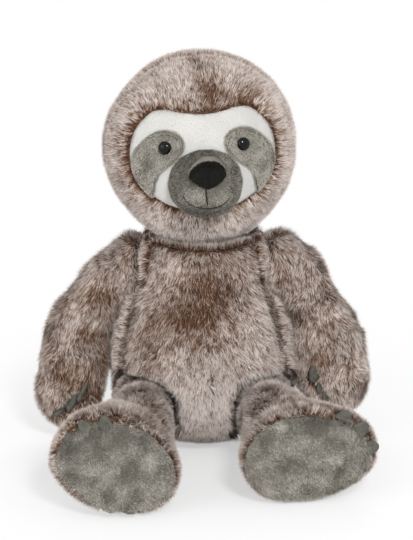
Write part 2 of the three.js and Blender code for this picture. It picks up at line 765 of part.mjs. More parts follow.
// Legs: the spine's shares of the way out and forward, from the hip to the sole
const legSpineShares = {
  right: [[0, 0, 0], [0.3, 0.35, 0], [0.62, 0.66, 0.25], [0.9, 0.88, 1], [1, 1, 1]],
  left: [[0, 0, 0], [0.3, 0.35, 0], [0.62, 0.66, 0.25], [0.9, 0.88, 1], [1, 1, 1]],
};
const legSwing = { right: 17, left: 29.5 };
const footTurn = { right: THREE.MathUtils.degToRad(32), left: THREE.MathUtils.degToRad(6) };
const footReach = { right: rightFootReach, left: leftFootReach };
const soleOutlineShares = [
  [0.88, -0.22], [0.82, 0.12], [0.7, 0.42], [0.45, 0.7], [0.1, 0.9], [-0.28, 0.97], [-0.64, 0.84], [-0.9, 0.48], [-1, 0],
  [-0.9, -0.5], [-0.62, -0.86], [-0.25, -1], [0.15, -0.98], [0.52, -0.82], [0.77, -0.56],
];

// Claws on the foot: shares of the sole's length and width for each root
const footClawShares = [[0.78, -0.08], [0.66, 0.34], [0.44, 0.62]];

function legForm(name, side) {
  const centre = hipCentre(side);
  const footHeight = footMiddleHeight(name);
  const points = legSpineShares[name].map(([out, forward, rise]) => new THREE.Vector3(
    centre.x + side * out * legSwing[name],
    centre.y - forward * footReach[name],
    centre.z + rise * (footHeight - centre.z),
  ));
  const toes = new THREE.Vector3(side * Math.cos(footTurn[name]), 0, Math.sin(footTurn[name]));
  const slim = legWidth / footLength;
  const full = legWidth / footWidth;
  const form = {
    spine: new THREE.CatmullRomCurve3(points, false, 'centripetal'),
    across: toes,
    width: footLength,
    depth: footWidth,
    shares: [
      [0, 0.84 * slim, 0.84 * full], [0.12, 0.79 * slim, 0.79 * full], [0.22, 0.8 * slim, 0.8 * full],
      [0.36, 0.95 * slim, 0.95 * full], [0.5, 1.04 * slim, 1.02 * full], [0.63, 1.2 * slim, 1.08 * full],
      [0.76, 0.86, 0.93], [0.89, 1, 1], [1, 1, 1],
    ],
    startRound: hipRadius / 2,
    endRound: footRound,
    endSquareness: 3,
    squareness: 2.1,
    ease: 0.45,
  };
  return { form, centre, toes, tipPlace: points[points.length - 1] };
}

function makeLeg(name, side) {
  const { form, centre, toes, tipPlace } = legForm(name, side);
  const legCounts = [legRings, legSides, legFillRings, legFillSides];
  const solids = limbSolids(form, centre, hipRadius, Y, legCounts);
  const sole = makeSole(form, toes, tipPlace);
  let skin = solids.skin.subtract(sole.room);
  let cloth = sole.solid;
  const front = stuffedForm(form, 0, legRings, legSides);
  const rise = toes.clone().cross(Y).multiplyScalar(side);
  footClawShares.forEach(([long, wide], number) => {
    const out = toes.clone().multiplyScalar(long * soleLength / 2).addScaledVector(rise, wide * soleWidth / 2);
    const [root, end] = [1, 1.16].map((stretch) => {
      const spot = tipPlace.clone().addScaledVector(out, stretch);
      return frontPoint(front, spot.x, spot.z);
    });
    const tip = end.clone().sub(root);
    root.addScaledVector(Y, -clawBevel);
    const face = Y.clone().negate();
    addPiece(`${name}_foot_claw_${number + 1}`, claw(root, tip, face), felt);
    const room = claw(root, tip, face, seamGap);
    skin = skin.subtract(room);
    cloth = cloth.subtract(room);
  });
  const [inner, outer] = legHalves(skin, centre, side, name);
  addPiece(`${name}_leg_inner`, inner, fur);
  addPiece(`${name}_leg_outer`, outer, fur);
  addPiece(`${name}_leg_fill`, solids.fill.subtract(underFloor), stuffing);
  addPiece(`${name}_sole`, cloth, grey);
  jointThread(`${name}_hip_thread`, centre, hipRadius, Y, hipRadius / 3);
}

function legHalves(skin, centre, side, name) {
  const facing = new THREE.Vector3(side * footReach[name], legSwing[name], 0).normalize();
  const [outer, inner] = halves(skin, centre, facing, 2 * footReach[name]);
  return [inner, outer];
}

function footMiddleHeight(name) {
  const long = footLength / 2 * Math.sin(footTurn[name]);
  const short = footWidth / 2 * Math.cos(footTurn[name]);
  return Math.hypot(long, short) - floorCut;
}

// The sole: an egg of grey cloth over the flat end of the foot, toes at its wide end
function makeSole(form, toes, tip) {
  const back = form.spine.getTangentAt(1).negate();
  const across = toes.clone().addScaledVector(back, -toes.dot(back)).normalize();
  const rise = across.clone().cross(back);
  const shares = soleOutlineShares.map(([x, z]) => [x, rise.z < 0 ? -z : z]);
  const make = (grow) => {
    const outline = smoothOutline(shares, soleLength, soleWidth, new THREE.Vector2(), 28, grow);
    const geometry = bar(outline, -overrun, soleDepth + grow);
    geometry.applyMatrix4(new THREE.Matrix4().makeBasis(across, back, rise));
    geometry.translate(tip.x, tip.y, tip.z);
    return solidOf(geometry);
  };
  const under = formSolid(form, furThickness, legFillRings, legFillSides);
  const over = formSolid(form, furThickness - 2 * napThickness, legRings, legSides);
  return { solid: over.subtract(under).intersect(make(0)), room: make(seamGap) };
}

makeTorso();
makeHead();
jointThread('neck_thread', neckCentre, neckRadius, Z, -neckRadius / 6);
makeArm('right', -1);
makeArm('left', 1);
makeLeg('right', -1);
makeLeg('left', 1);

export default sloth;
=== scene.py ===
# %% [markdown]
# # A seated plush sloth
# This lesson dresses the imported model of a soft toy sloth: long frosted fur on the hood, body and limbs,
# short white and grey cloth on the face and soles, felt claws and nose, glossy eyes and sewing thread.
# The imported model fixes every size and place, so each step below starts from its solids.

import json
import math

import bmesh
import bpy
import numpy as np
from mathutils import Matrix, Vector, kdtree, noise
from mathutils.bvhtree import BVHTree

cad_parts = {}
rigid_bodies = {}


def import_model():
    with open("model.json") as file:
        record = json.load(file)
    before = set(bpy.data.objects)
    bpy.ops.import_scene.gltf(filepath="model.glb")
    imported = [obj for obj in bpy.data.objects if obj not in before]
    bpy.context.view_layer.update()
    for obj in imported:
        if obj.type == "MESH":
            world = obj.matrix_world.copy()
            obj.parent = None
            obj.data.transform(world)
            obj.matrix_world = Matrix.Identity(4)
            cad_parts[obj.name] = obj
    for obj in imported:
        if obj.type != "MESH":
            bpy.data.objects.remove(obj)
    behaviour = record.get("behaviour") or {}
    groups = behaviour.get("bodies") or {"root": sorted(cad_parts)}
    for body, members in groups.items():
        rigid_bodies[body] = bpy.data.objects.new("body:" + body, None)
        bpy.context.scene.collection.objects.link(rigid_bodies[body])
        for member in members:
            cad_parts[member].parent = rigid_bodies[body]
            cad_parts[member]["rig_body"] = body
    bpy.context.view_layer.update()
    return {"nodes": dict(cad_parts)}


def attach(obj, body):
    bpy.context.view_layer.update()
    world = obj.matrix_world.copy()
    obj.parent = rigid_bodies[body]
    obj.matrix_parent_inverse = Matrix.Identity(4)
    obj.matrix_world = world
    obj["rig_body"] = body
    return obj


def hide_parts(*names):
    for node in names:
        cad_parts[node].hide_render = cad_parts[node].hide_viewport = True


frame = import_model()
cad = frame["nodes"]
MM = 0.001
print("packed solids:", len(cad))

# %% [markdown]
# ## The camera
# The photograph looks a little down on the toy from in front. The camera stands 1.4 m away, tilted down by
# 15 degrees, with a long lens so that the feet don't grow. The view is centred just above the belly.

# %% The camera
CAMERA_DISTANCE = 1.4
CAMERA_TILT = math.radians(15)
VIEW_HEIGHT = 0.3958
SENSOR = 36
view_centre = Vector((0.0025, 0, 0.1282))
camera_data = bpy.data.cameras.new("camera")
camera_data.sensor_fit = "VERTICAL"
camera_data.sensor_height = SENSOR
camera_data.lens = SENSOR * CAMERA_DISTANCE / VIEW_HEIGHT
camera = bpy.data.objects.new("camera", camera_data)
camera.location = view_centre + CAMERA_DISTANCE * Vector((0, -math.cos(CAMERA_TILT), math.sin(CAMERA_TILT)))
camera.rotation_euler = (math.pi / 2 - CAMERA_TILT, 0, 0)
bpy.context.scene.collection.objects.link(camera)
bpy.context.scene.camera = camera
print("lens", round(camera_data.lens, 1), "mm")

# %% [markdown]
# ## Small helpers for node trees
# Geometry trees and materials are both built from nodes. `put` adds a node, sets what it is told, and links
# or fills its sockets by name or by number, so that each tree below reads as a list of steps.


# %% Helpers for node trees
def socket_of(sockets, key):
    """The shown socket with a name, or at a place in the list of shown sockets."""
    shown = [s for s in sockets if s.enabled]
    return shown[key] if isinstance(key, int) else next(s for s in shown if s.name == key)


def put(tree, kind, values=None, **settings):
    """A new node, with its settings made and its sockets filled or linked."""
    node = tree.nodes.new(kind)
    for name, value in settings.items():
        setattr(node, name, value)
    for key, value in (values or {}).items():
        target = socket_of(node.inputs, key)
        if isinstance(value, bpy.types.NodeSocket):
            tree.links.new(value, target)
        elif isinstance(value, bpy.types.Node):
            tree.links.new(socket_of(value.outputs, 0), target)
        else:
            target.default_value = value
    return node


def new_group(kind, name, inputs, outputs):
    """A node group with named sockets, and the nodes that stand for its two ends."""
    group = bpy.data.node_groups.new(name, kind)
    for direction, sockets in (("INPUT", inputs), ("OUTPUT", outputs)):
        for label, what in sockets.items():
            group.interface.new_socket(label, in_out=direction, socket_type="NodeSocket" + what)
    return group, group.nodes.new("NodeGroupInput").outputs, group.nodes.new("NodeGroupOutput").inputs


def maths(tree, operation, *values, **settings):
    """A Math node over the given numbers or sockets."""
    return put(tree, "ShaderNodeMath", dict(enumerate(values)), operation=operation, **settings)


def vectors(tree, operation, *values):
    """A Vector Math node over the given vectors, numbers or sockets."""
    return put(tree, "ShaderNodeVectorMath", dict(enumerate(values)), operation=operation)


# %% [markdown]
# ## Cloth and fur colours
# Each strand of the fur is rusty brown at the root, grey brown along its stem and pale at its frosted tip.
# Where the pile parts, the brown shows, so the shade depends on how far along the strand a point is, on slow
# patches over the body, on each strand's own tone and on the tint of the cloth below, which in places is
# painted light and shade. One shader group works that out, and each material ramps it to its own colours.


# %% The shade of a pile strand
def linear(red, green, blue):
    """A colour given from 0 to 255, as the linear values that a shader takes."""
    shares = [c / 255 for c in (red, green, blue)]
    return (*[c / 12.92 if c <= 0.04045 else ((c + 0.055) / 1.055) ** 2.4 for c in shares], 1)


def clouds(tree, place, per_metre, detail, **more):
    """A noise node read at a place, whose first output averages a half."""
    values = {"Vector": place, "Scale": per_metre, "Detail": detail, **more}
    return put(tree, "ShaderNodeTexNoise", values)


MIDDLE = 0.5
SLOW_SHARE = 0.6
pile_shade, given, result = new_group(
    "ShaderNodeTree",
    "pile_shade",
    {"Along": "Float", "Tone": "Float", "Tint": "Float", "Patches per metre": "Float",
     "Tufts per metre": "Float", "Patchiness": "Float", "Contrast": "Float"},
    {"Shade": "Float"},
)
place = put(pile_shade, "ShaderNodeTexCoord").outputs["Object"]
slow = clouds(pile_shade, place, given["Patches per metre"], 2.5)
quick = clouds(pile_shade, place, given["Tufts per metre"], 2.0)
patch = maths(pile_shade, "SUBTRACT", quick, MIDDLE * (1 + SLOW_SHARE))
patch = maths(pile_shade, "MULTIPLY_ADD", slow, SLOW_SHARE, patch)
patch = maths(pile_shade, "MULTIPLY", patch, given["Patchiness"])
own = maths(pile_shade, "MULTIPLY", maths(pile_shade, "SUBTRACT", given["Tone"], MIDDLE), given["Contrast"])
shade = maths(pile_shade, "ADD", given["Along"], patch)
shade = maths(pile_shade, "ADD", shade, own)
shade = maths(pile_shade, "ADD", shade, given["Tint"], use_clamp=True)
pile_shade.links.new(shade.outputs[0], result["Shade"])
print("group", pile_shade.name)

# %% [markdown]
# Felt, backing cloth and thread share one more effect: a fine fibre grain that lifts the surface a little
# and mottles its colour. Its scale is in grains per metre, so it stays true to size on every piece.

# %% The fibre grain
FINE_SHARE = 0.45
fibre_grain, given, result = new_group(
    "ShaderNodeTree",
    "fibre_grain",
    {"Grains per metre": "Float", "Mottles per metre": "Float"},
    {"Height": "Float", "Mottle": "Float"},
)
place = put(fibre_grain, "ShaderNodeTexCoord").outputs["Object"]
fine = clouds(fibre_grain, place, given["Grains per metre"], 3.0, Distortion=1.5)
broad = clouds(fibre_grain, place, given["Mottles per metre"], 4.0)
blend = maths(fibre_grain, "MULTIPLY", fine, FINE_SHARE)
blend = maths(fibre_grain, "MULTIPLY_ADD", broad, 1 - FINE_SHARE, blend)
fibre_grain.links.new(fine.outputs[0], result["Height"])
fibre_grain.links.new(blend.outputs[0], result["Mottle"])
print("group", fibre_grain.name)


# %% [markdown]
# ## Materials
# Each material below uses one of the two groups. The Principled shader stays in the material, with its
# roughness and shine on its own sockets, and a colour ramp turns the shade or mottle into the cloth's
# colours. The eyes are the one smooth, glossy finish.


# %% Make the materials
CLOTH_SHINE = 0.25
EYE_SHINE = 0.22
PILE_ROUGHNESS = 0.75
CLOTH_ROUGHNESS = 0.85
TUFTS_IN_A_PATCH = 5
GRAIN_STRENGTH = 0.7


def ramp(tree, factor, stops):
    """A colour ramp with stops given as (position, colour)."""
    node = put(tree, "ShaderNodeValToRGB", {"Fac": factor})
    while len(node.color_ramp.elements) < len(stops):
        node.color_ramp.elements.new(0.5)
    for element, (position, colour) in zip(node.color_ramp.elements, stops):
        element.position = position
        element.color = linear(*colour)
    return node.outputs["Color"]


def two_tones(dark, pale, spread=0.2):
    """Stops that go from a dark to a pale colour round the middle of a mottle."""
    return [(0.5 - spread, dark), (0.5 + spread, pale)]


def new_material(name, roughness, shine=CLOTH_SHINE):
    """An empty material, its tree and its Principled shader."""
    made = bpy.data.materials.new(name)
    made.use_nodes = True
    shader = made.node_tree.nodes["Principled BSDF"]
    shader.inputs["Roughness"].default_value = roughness
    shader.inputs["Specular IOR Level"].default_value = shine
    return made, made.node_tree, shader


def pile_material(name, patches, patchiness, contrast, stops):
    """A material for strands: the colour goes from root to tip, in patches."""
    made, tree, shader = new_material(name, PILE_ROUGHNESS)
    shade = put(tree, "ShaderNodeGroup", node_tree=pile_shade)
    for label in ("along", "tone", "tint"):
        read = put(tree, "ShaderNodeAttribute", attribute_name=label)
        tree.links.new(read.outputs["Fac"], shade.inputs[label.capitalize()])
    shade.inputs["Patches per metre"].default_value = patches
    shade.inputs["Tufts per metre"].default_value = patches * TUFTS_IN_A_PATCH
    shade.inputs["Patchiness"].default_value = patchiness
    shade.inputs["Contrast"].default_value = contrast
    tree.links.new(ramp(tree, shade.outputs["Shade"], stops), shader.inputs["Base Color"])
    return made


def cloth_material(name, grains, mottles, stops, relief, roughness=CLOTH_ROUGHNESS, shine=CLOTH_SHINE):
    """A material for felt, backing, thread or plastic: mottled, with a fine raised grain."""
    made, tree, shader = new_material(name, roughness, shine)
    grain = put(tree, "ShaderNodeGroup", node_tree=fibre_grain)
    grain.inputs["Grains per metre"].default_value = grains
    grain.inputs["Mottles per metre"].default_value = mottles
    tree.links.new(ramp(tree, grain.outputs["Mottle"], stops), shader.inputs["Base Color"])
    raised = {"Height": grain.outputs["Height"], "Strength": GRAIN_STRENGTH, "Distance": relief}
    tree.links.new(put(tree, "ShaderNodeBump", raised).outputs["Normal"], shader.inputs["Normal"])
    return made


FUR_STOPS = [(0.0, (86, 54, 33)), (0.3, (128, 98, 77)), (0.55, (174, 154, 141)), (1.0, (226, 217, 211))]
WHITE_STOPS = [(0.0, (190, 190, 187)), (0.6, (201, 201, 198)), (1.0, (211, 211, 209))]
GREY_STOPS = [(0.0, (72, 69, 63)), (0.5, (146, 142, 132)), (1.0, (194, 190, 180))]
BLACK_STOPS = [(0.0, (8, 8, 7)), (0.6, (18, 18, 16)), (1.0, (38, 37, 34))]
fur = pile_material("fur", 48, 0.42, 1.5, FUR_STOPS)
white_nap = pile_material("white_nap", 90, 0.15, 0.8, WHITE_STOPS)
grey_nap = pile_material("grey_nap", 110, 0.24, 0.7, GREY_STOPS)
black_nap = pile_material("black_nap", 200, 0.5, 1.0, BLACK_STOPS)
tones = two_tones((98, 70, 52), (132, 104, 86))
backing = cloth_material("backing", 900, 120, tones, 0.4 * MM)
tones = two_tones((196, 194, 190), (212, 211, 207))
white_cloth = cloth_material("white_cloth", 1500, 60, tones, 0.15 * MM)
tones = two_tones((104, 100, 92), (132, 128, 119), 0.15)
grey_cloth = cloth_material("grey_cloth", 1400, 130, tones, 0.2 * MM)
tones = two_tones((10, 10, 9), (24, 23, 21))
black_cloth = cloth_material("black_cloth", 1600, 200, tones, 0.2 * MM)
tones = two_tones((62, 61, 56), (106, 104, 95))
claw_felt = cloth_material("claw_felt", 1300, 260, tones, 0.3 * MM)
tones = two_tones((20, 19, 18), (52, 50, 47))
black_thread = cloth_material("black_thread", 3000, 500, tones, 0.1 * MM, 0.6)
tones = two_tones((50, 47, 43), (82, 77, 71))
seam_thread = cloth_material("seam_thread", 3000, 500, tones, 0.1 * MM, 0.7)
tones = two_tones((7, 6, 6), (14, 12, 10))
eye_gloss = cloth_material("eye_gloss", 700, 90, tones, 0.001 * MM, 0.03, EYE_SHINE)
tones = two_tones((205, 203, 198), (224, 222, 218))
washer_plastic = cloth_material("washer_plastic", 800, 90, tones, 0.05 * MM, 0.4)
print("materials:", len(bpy.data.materials))


# %% [markdown]
# ## From faceted solids to soft forms
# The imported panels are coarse. A voxel remesh of a body's panels and stuffing gives one closed form, and
# smoothing melts the facets. The cloth that the pile grows from lies a few millimetres under the fur's
# surface, so the form is then drawn in by that much and remeshed again, which heals any fold.


# %% Helpers that make soft forms
SAME_POINT = 0.001 * MM


def new_object(name, mesh):
    made = bpy.data.objects.new(name, mesh)
    bpy.context.scene.collection.objects.link(made)
    return made


def mesh_of(bm, name):
    """Turn a bmesh into a smooth shaded mesh, and free it."""
    made = bpy.data.meshes.new(name)
    bm.to_mesh(made)
    bm.free()
    made.shade_smooth()
    return made


def merged(names, hull=False):
    """The named solids in one bmesh with doubles merged, or the closed hull round them."""
    bm = bmesh.new()
    for name in names:
        bm.from_mesh(cad[name].data)
    bmesh.ops.remove_doubles(bm, verts=bm.verts, dist=SAME_POINT)
    if hull:
        inside = bmesh.ops.convex_hull(bm, input=bm.verts)["geom_interior"]
        bmesh.ops.delete(bm, geom=[g for g in inside if isinstance(g, bmesh.types.BMVert)], context="VERTS")
        bmesh.ops.delete(bm, geom=[f for f in bm.faces if not f.calc_area()], context="FACES")
    return bm


def applied(obj, *steps):
    """Apply modifiers, each given as (type, settings), and keep the result as the object's mesh."""
    for number, (kind, settings) in enumerate(steps):
        modifier = obj.modifiers.new(f"step_{number}", kind)
        for name, value in settings.items():
            setattr(modifier, name, value)
    shown = obj.evaluated_get(bpy.context.evaluated_depsgraph_get())
    made = bpy.data.meshes.new_from_object(shown)
    old = obj.data
    obj.modifiers.clear()
    obj.data = made
    bpy.data.meshes.remove(old)
    return obj


def remesh(size):
    return "REMESH", {"mode": "VOXEL", "voxel_size": size, "use_smooth_shade": True}


def smooth(rounds):
    return "SMOOTH", {"factor": 0.5, "iterations": rounds}


def moved_out(distance):
    return "DISPLACE", {"strength": distance, "mid_level": 0.0}


def soft_solid(name, nodes, voxel, rounds, out=0.0, hull=False):
    """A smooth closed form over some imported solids."""
    made = new_object(name, mesh_of(merged(nodes, hull), name))
    last = smooth(max(2, rounds // 4))
    return applied(made, remesh(voxel), smooth(rounds), moved_out(out), remesh(voxel), last)


def reshape(obj, places):
    """Put an object's points at new places."""
    obj.data.vertices.foreach_set("co", np.array(places, np.float32).ravel())
    obj.data.update()
    return obj


def tree_over(name):
    """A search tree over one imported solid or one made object."""
    mesh = cad[name].data if isinstance(name, str) else name.data
    mesh.calc_loop_triangles()
    places = [v.co.copy() for v in mesh.vertices]
    return BVHTree.FromPolygons(places, [t.vertices[:] for t in mesh.loop_triangles])


# %% [markdown]
# ## Stuffing that pushes from inside
# Stuffed cloth is tight between its seams and pulled in along them. Each form is therefore blown up as
# cloth, held at its seams, with gravity off. The simulation runs on a coarse copy. The fine form follows
# it by no more than a cap, from a slightly smaller start, so that it keeps its size while it bulges.


# %% Swell a form as cloth
SWELL_VOXEL = 5 * MM
SWELL_CAP = 1.5 * MM
SWELL_FRAMES = 20
SWELL_NEIGHBOURS = 4
PRESSURE = 4
LOOSEST = 0.02
SOFTENING = 0.2 * MM
SEAM_HOLD = 6 * MM
BACK_FACING = -0.45


def blown_up(coarse, holds):
    """Run the cloth simulation on a coarse form. Returns each point's place before, and its move."""
    start = [v.co.copy() for v in coarse.data.vertices]
    held = coarse.vertex_groups.new(name="held")
    for vertex in coarse.data.vertices:
        held.add([vertex.index], min(1.0, max(LOOSEST, holds(vertex.co, vertex.normal))), "REPLACE")
    cloth = coarse.modifiers.new("swell", "CLOTH")
    cloth.settings.vertex_group_mass = "held"
    cloth.settings.use_pressure = True
    cloth.settings.uniform_pressure_force = PRESSURE
    cloth.settings.effector_weights.gravity = 0
    cloth.collision_settings.use_collision = False
    cloth.point_cache.frame_end = SWELL_FRAMES
    for moment in range(1, SWELL_FRAMES + 1):
        bpy.context.scene.frame_set(moment)
    shown = coarse.evaluated_get(bpy.context.evaluated_depsgraph_get())
    moves = [v.co - before for v, before in zip(shown.data.vertices, start)]
    coarse.modifiers.clear()
    bpy.context.scene.frame_set(1)
    return start, moves


def swelled(form, holds):
    """Blow a form up as cloth that is held where holds(place, normal) is near 1."""
    coarse = new_object(form.name + "_swell", form.data.copy())
    start, moves = blown_up(applied(coarse, remesh(SWELL_VOXEL), smooth(4)), holds)
    search = kdtree.KDTree(len(start))
    for index, before in enumerate(start):
        search.insert(before, index)
    search.balance()
    places = []
    for vertex in form.data.vertices:
        near = search.find_n(vertex.co, SWELL_NEIGHBOURS)
        shares = [1 / (distance + SOFTENING) for _, _, distance in near]
        move = sum((moves[i] * share for (_, i, _), share in zip(near, shares)), Vector()) / sum(shares)
        if move.length > SWELL_CAP:
            move *= SWELL_CAP / move.length
        places.append(vertex.co + move - vertex.normal * SWELL_CAP / 2)
    bpy.data.objects.remove(coarse)
    most = max(m.length for m in moves) / MM
    print(form.name, "swelled as cloth:", len(start), "points, most", round(most, 2), "mm")
    return reshape(form, places)


def at_seams(panels):
    """How near a place is to the seam between two panels, from 0 to 1."""
    searches = [tree_over(p) for p in panels]

    def holds(place, normal):
        gaps = sorted(search.find_nearest(place)[3] for search in searches)
        return math.exp(-((gaps[1] / SEAM_HOLD) ** 2))

    return holds


def at_back(place, normal):
    """Held all round the back and the rim of a pad that faces forward."""
    return 1.0 if normal.y > BACK_FACING else 0.0


# %% [markdown]
# ## The pile, as a geometry tree
# Real fur fabric has millions of hairs. They stand in small tufts, lean one way where the cloth was brushed
# and ruffle elsewhere. A hair system would vanish in other programs, so the tree below scatters roots over
# the cloth, copies a kite-shaped strand to each, and bends it with a formula: up along the cloth's normal,
# then over by the comb direction, the ruffle and the pull of its tuft. Nothing goes below the floor.

# %% The strand and the tree's inputs
KITE = [(0, 0), (1, 0.4), (0, 1), (-1, 0.4)]
strand_mesh = bpy.data.meshes.new("strand")
strand_mesh.from_pydata([(x, 0, y) for x, y in KITE], [], [(0, 1, 2, 3)])
for label, column in (("across", 0), ("along", 1)):
    values = strand_mesh.attributes.new(label, "FLOAT", "POINT")
    values.data.foreach_set("value", [p[column] for p in KITE])
strand = new_object("strand", strand_mesh)
strand.hide_render = True

pile, given, result = new_group(
    "GeometryNodeTree",
    "pile",
    {
        "Cloth": "Geometry", "Strand": "Object", "Strands per square metre": "Float", "Length": "Float",
        "Width": "Float", "Comb": "Float", "Ruffle": "Float", "Ruffles per metre": "Float",
        "Tufts per metre": "Float", "Tuft pull": "Float", "Cells in a row": "Int", "Floor": "Float",
        "Seed": "Int", "Material": "Material",
    },
    {"Pile": "Geometry"},
)


def named(kind, label):
    """Read a named attribute in the pile tree."""
    return put(pile, "GeometryNodeInputNamedAttribute", {"Name": label}, data_type=kind)


def stored(geometry, kind, label, value, domain="POINT"):
    """Store a named attribute in the pile tree."""
    values = {"Geometry": geometry, "Name": label, "Value": value}
    return put(pile, "GeometryNodeStoreNamedAttribute", values, data_type=kind, domain=domain)


def scaled(vector, amount):
    return put(pile, "ShaderNodeVectorMath", {0: vector, "Scale": amount}, operation="SCALE")


def along_cloth(vector):
    """What is left of a vector when its part along the cloth's normal is taken away."""
    part = vectors(pile, "DOT_PRODUCT", vector, normal).outputs["Value"]
    return vectors(pile, "SUBTRACT", vector, scaled(normal, part))


print("strand of", len(KITE), "points")

# %% [markdown]
# A root's tone is half chance and half its tuft's, so that neighbours look alike but not the same. Paler
# strands are also longer, as frosted tips are on the toy.

# %% Scatter the roots
OWN_CHANCE = 0.5
SHORTEST = 0.8
TONE_GROWTH = 0.35
thick = maths(pile, "MULTIPLY", given["Strands per square metre"], named("FLOAT", "cover"))
sowing = {"Mesh": given["Cloth"], "Density": thick, "Seed": given["Seed"]}
scatter = put(pile, "GeometryNodeDistributePointsOnFaces", sowing)
normal = named("FLOAT_VECTOR", "cloth_normal")
position = put(pile, "GeometryNodeInputPosition")
points = stored(scatter.outputs["Points"], "FLOAT_VECTOR", "cloth_normal", scatter.outputs["Normal"])
tuft = put(pile, "ShaderNodeTexVoronoi", {"Vector": position, "Scale": given["Tufts per metre"]})
chance = put(pile, "FunctionNodeRandomValue", {"Seed": given["Seed"]}, data_type="FLOAT")
of_tuft = put(pile, "ShaderNodeSeparateXYZ", {0: tuft.outputs["Color"]}).outputs["X"]
tone = maths(pile, "MULTIPLY_ADD", chance, OWN_CHANCE, maths(pile, "MULTIPLY", of_tuft, 1 - OWN_CHANCE))
points = stored(points, "FLOAT", "tone", tone)
own_share = maths(pile, "MULTIPLY_ADD", named("FLOAT", "tone"), TONE_GROWTH, SHORTEST)
long = maths(pile, "MULTIPLY", maths(pile, "MULTIPLY", given["Length"], named("FLOAT", "length")), own_share)
print("roots:", len(pile.nodes), "nodes so far")

# %% [markdown]
# Each strand leans by the sum of four pushes along the cloth. Its rise and its lean are worked out so that
# a strand that leans further stands lower, and keeps its length.

# %% Bend each strand
STRAY = 0.3
STEEPEST = 0.92
ruffle = clouds(pile, position, given["Ruffles per metre"], 2.0).outputs["Color"]
ruffle = along_cloth(vectors(pile, "SUBTRACT", ruffle, (MIDDLE, MIDDLE, MIDDLE)))
ruffle = scaled(ruffle, maths(pile, "DIVIDE", given["Ruffle"], MIDDLE))
comb = scaled(along_cloth(named("FLOAT_VECTOR", "comb")), given["Comb"])
to_tuft = along_cloth(vectors(pile, "SUBTRACT", tuft.outputs["Position"], position))
to_tuft = scaled(to_tuft, maths(pile, "DIVIDE", given["Tuft pull"], given["Length"]))
wander = {"Min": (-STRAY, -STRAY, -STRAY), "Max": (STRAY, STRAY, STRAY), "Seed": given["Seed"]}
stray = along_cloth(put(pile, "FunctionNodeRandomValue", wander, data_type="FLOAT_VECTOR"))
bend = vectors(pile, "ADD", vectors(pile, "ADD", vectors(pile, "ADD", comb, ruffle), to_tuft), stray)
slope = maths(pile, "MINIMUM", vectors(pile, "LENGTH", bend).outputs["Value"], STEEPEST)
upright = maths(pile, "SQRT", maths(pile, "SUBTRACT", 1.0, maths(pile, "MULTIPLY", slope, slope)))
lean = scaled(vectors(pile, "NORMALIZE", bend), maths(pile, "MULTIPLY", slope, long))
rise = scaled(normal, maths(pile, "MULTIPLY", upright, long))
edge = vectors(pile, "NORMALIZE", vectors(pile, "CROSS_PRODUCT", vectors(pile, "ADD", rise, lean), normal))
edge = scaled(edge, maths(pile, "MULTIPLY", given["Width"], 0.5))
for label, value in (("root", position), ("rise", rise), ("lean", lean), ("edge", edge)):
    points = stored(points, "FLOAT_VECTOR", label, value)
points = stored(points, "INT", "cell", put(pile, "GeometryNodeInputIndex"))
print("bend:", len(pile.nodes), "nodes so far")

# %% [markdown]
# Last, the kite is copied to each root and its four points take their places: the lean comes late along the
# strand, so that it bows. For programs that bake the colours, each strand gets a cell of its own on a flat
# map, side by side in rows.

# %% Copy the strands and finish the tree
EARLY_LEAN = 0.35
CELL_HALF_WIDTH = 0.38
CELL_MARGIN = 0.1
copy = put(pile, "GeometryNodeObjectInfo", {"Object": given["Strand"]}, transform_space="ORIGINAL")
strands = put(pile, "GeometryNodeInstanceOnPoints", {"Points": points, "Instance": copy.outputs["Geometry"]})
strands = put(pile, "GeometryNodeRealizeInstances", {"Geometry": strands})
up_it, across = named("FLOAT", "along"), named("FLOAT", "across")
late = maths(pile, "MULTIPLY", maths(pile, "MULTIPLY", up_it, up_it), 1 - EARLY_LEAN)
bow = maths(pile, "MULTIPLY_ADD", up_it, EARLY_LEAN, late)
spot = named("FLOAT_VECTOR", "root")
for label, share in (("rise", up_it), ("lean", bow), ("edge", across)):
    spot = vectors(pile, "ADD", spot, scaled(named("FLOAT_VECTOR", label), share))
parts = put(pile, "ShaderNodeSeparateXYZ", {0: spot}).outputs
above = maths(pile, "MAXIMUM", parts["Z"], given["Floor"])
spot = put(pile, "ShaderNodeCombineXYZ", {"X": parts["X"], "Y": parts["Y"], "Z": above})
strands = put(pile, "GeometryNodeSetPosition", {"Geometry": strands, "Position": spot})
column = maths(pile, "MODULO", named("INT", "cell"), given["Cells in a row"])
row = maths(pile, "FLOOR", maths(pile, "DIVIDE", named("INT", "cell"), given["Cells in a row"]))
flat_x = maths(pile, "MULTIPLY_ADD", across, CELL_HALF_WIDTH, maths(pile, "ADD", column, MIDDLE))
flat_y = maths(pile, "MULTIPLY_ADD", up_it, 1 - 2 * CELL_MARGIN, maths(pile, "ADD", row, CELL_MARGIN))
flat_x, flat_y = (maths(pile, "DIVIDE", v, given["Cells in a row"]) for v in (flat_x, flat_y))
flat = put(pile, "ShaderNodeCombineXYZ", {"X": flat_x, "Y": flat_y})
strands = stored(strands, "FLOAT2", "OFBake", flat, "CORNER")
strands = put(pile, "GeometryNodeSetMaterial", {"Geometry": strands, "Material": given["Material"]})
pile.links.new(strands.outputs[0], result["Pile"])
print("pile tree:", len(pile.nodes), "nodes")


# %% [markdown]
# ## Growing a pile
# One function runs any of the geometry trees on an object and keeps a plain mesh. A second one sows a pile
# at a set thickness, with a cap on the number of strands so that no piece grows too heavy. Fur and the
# short nap are the same tree with other lengths.


# %% Grow a pile on a piece of cloth
ONLY_TO_GROW = ("root", "rise", "lean", "edge", "cell", "cloth_normal", "cover", "length", "comb", "across")


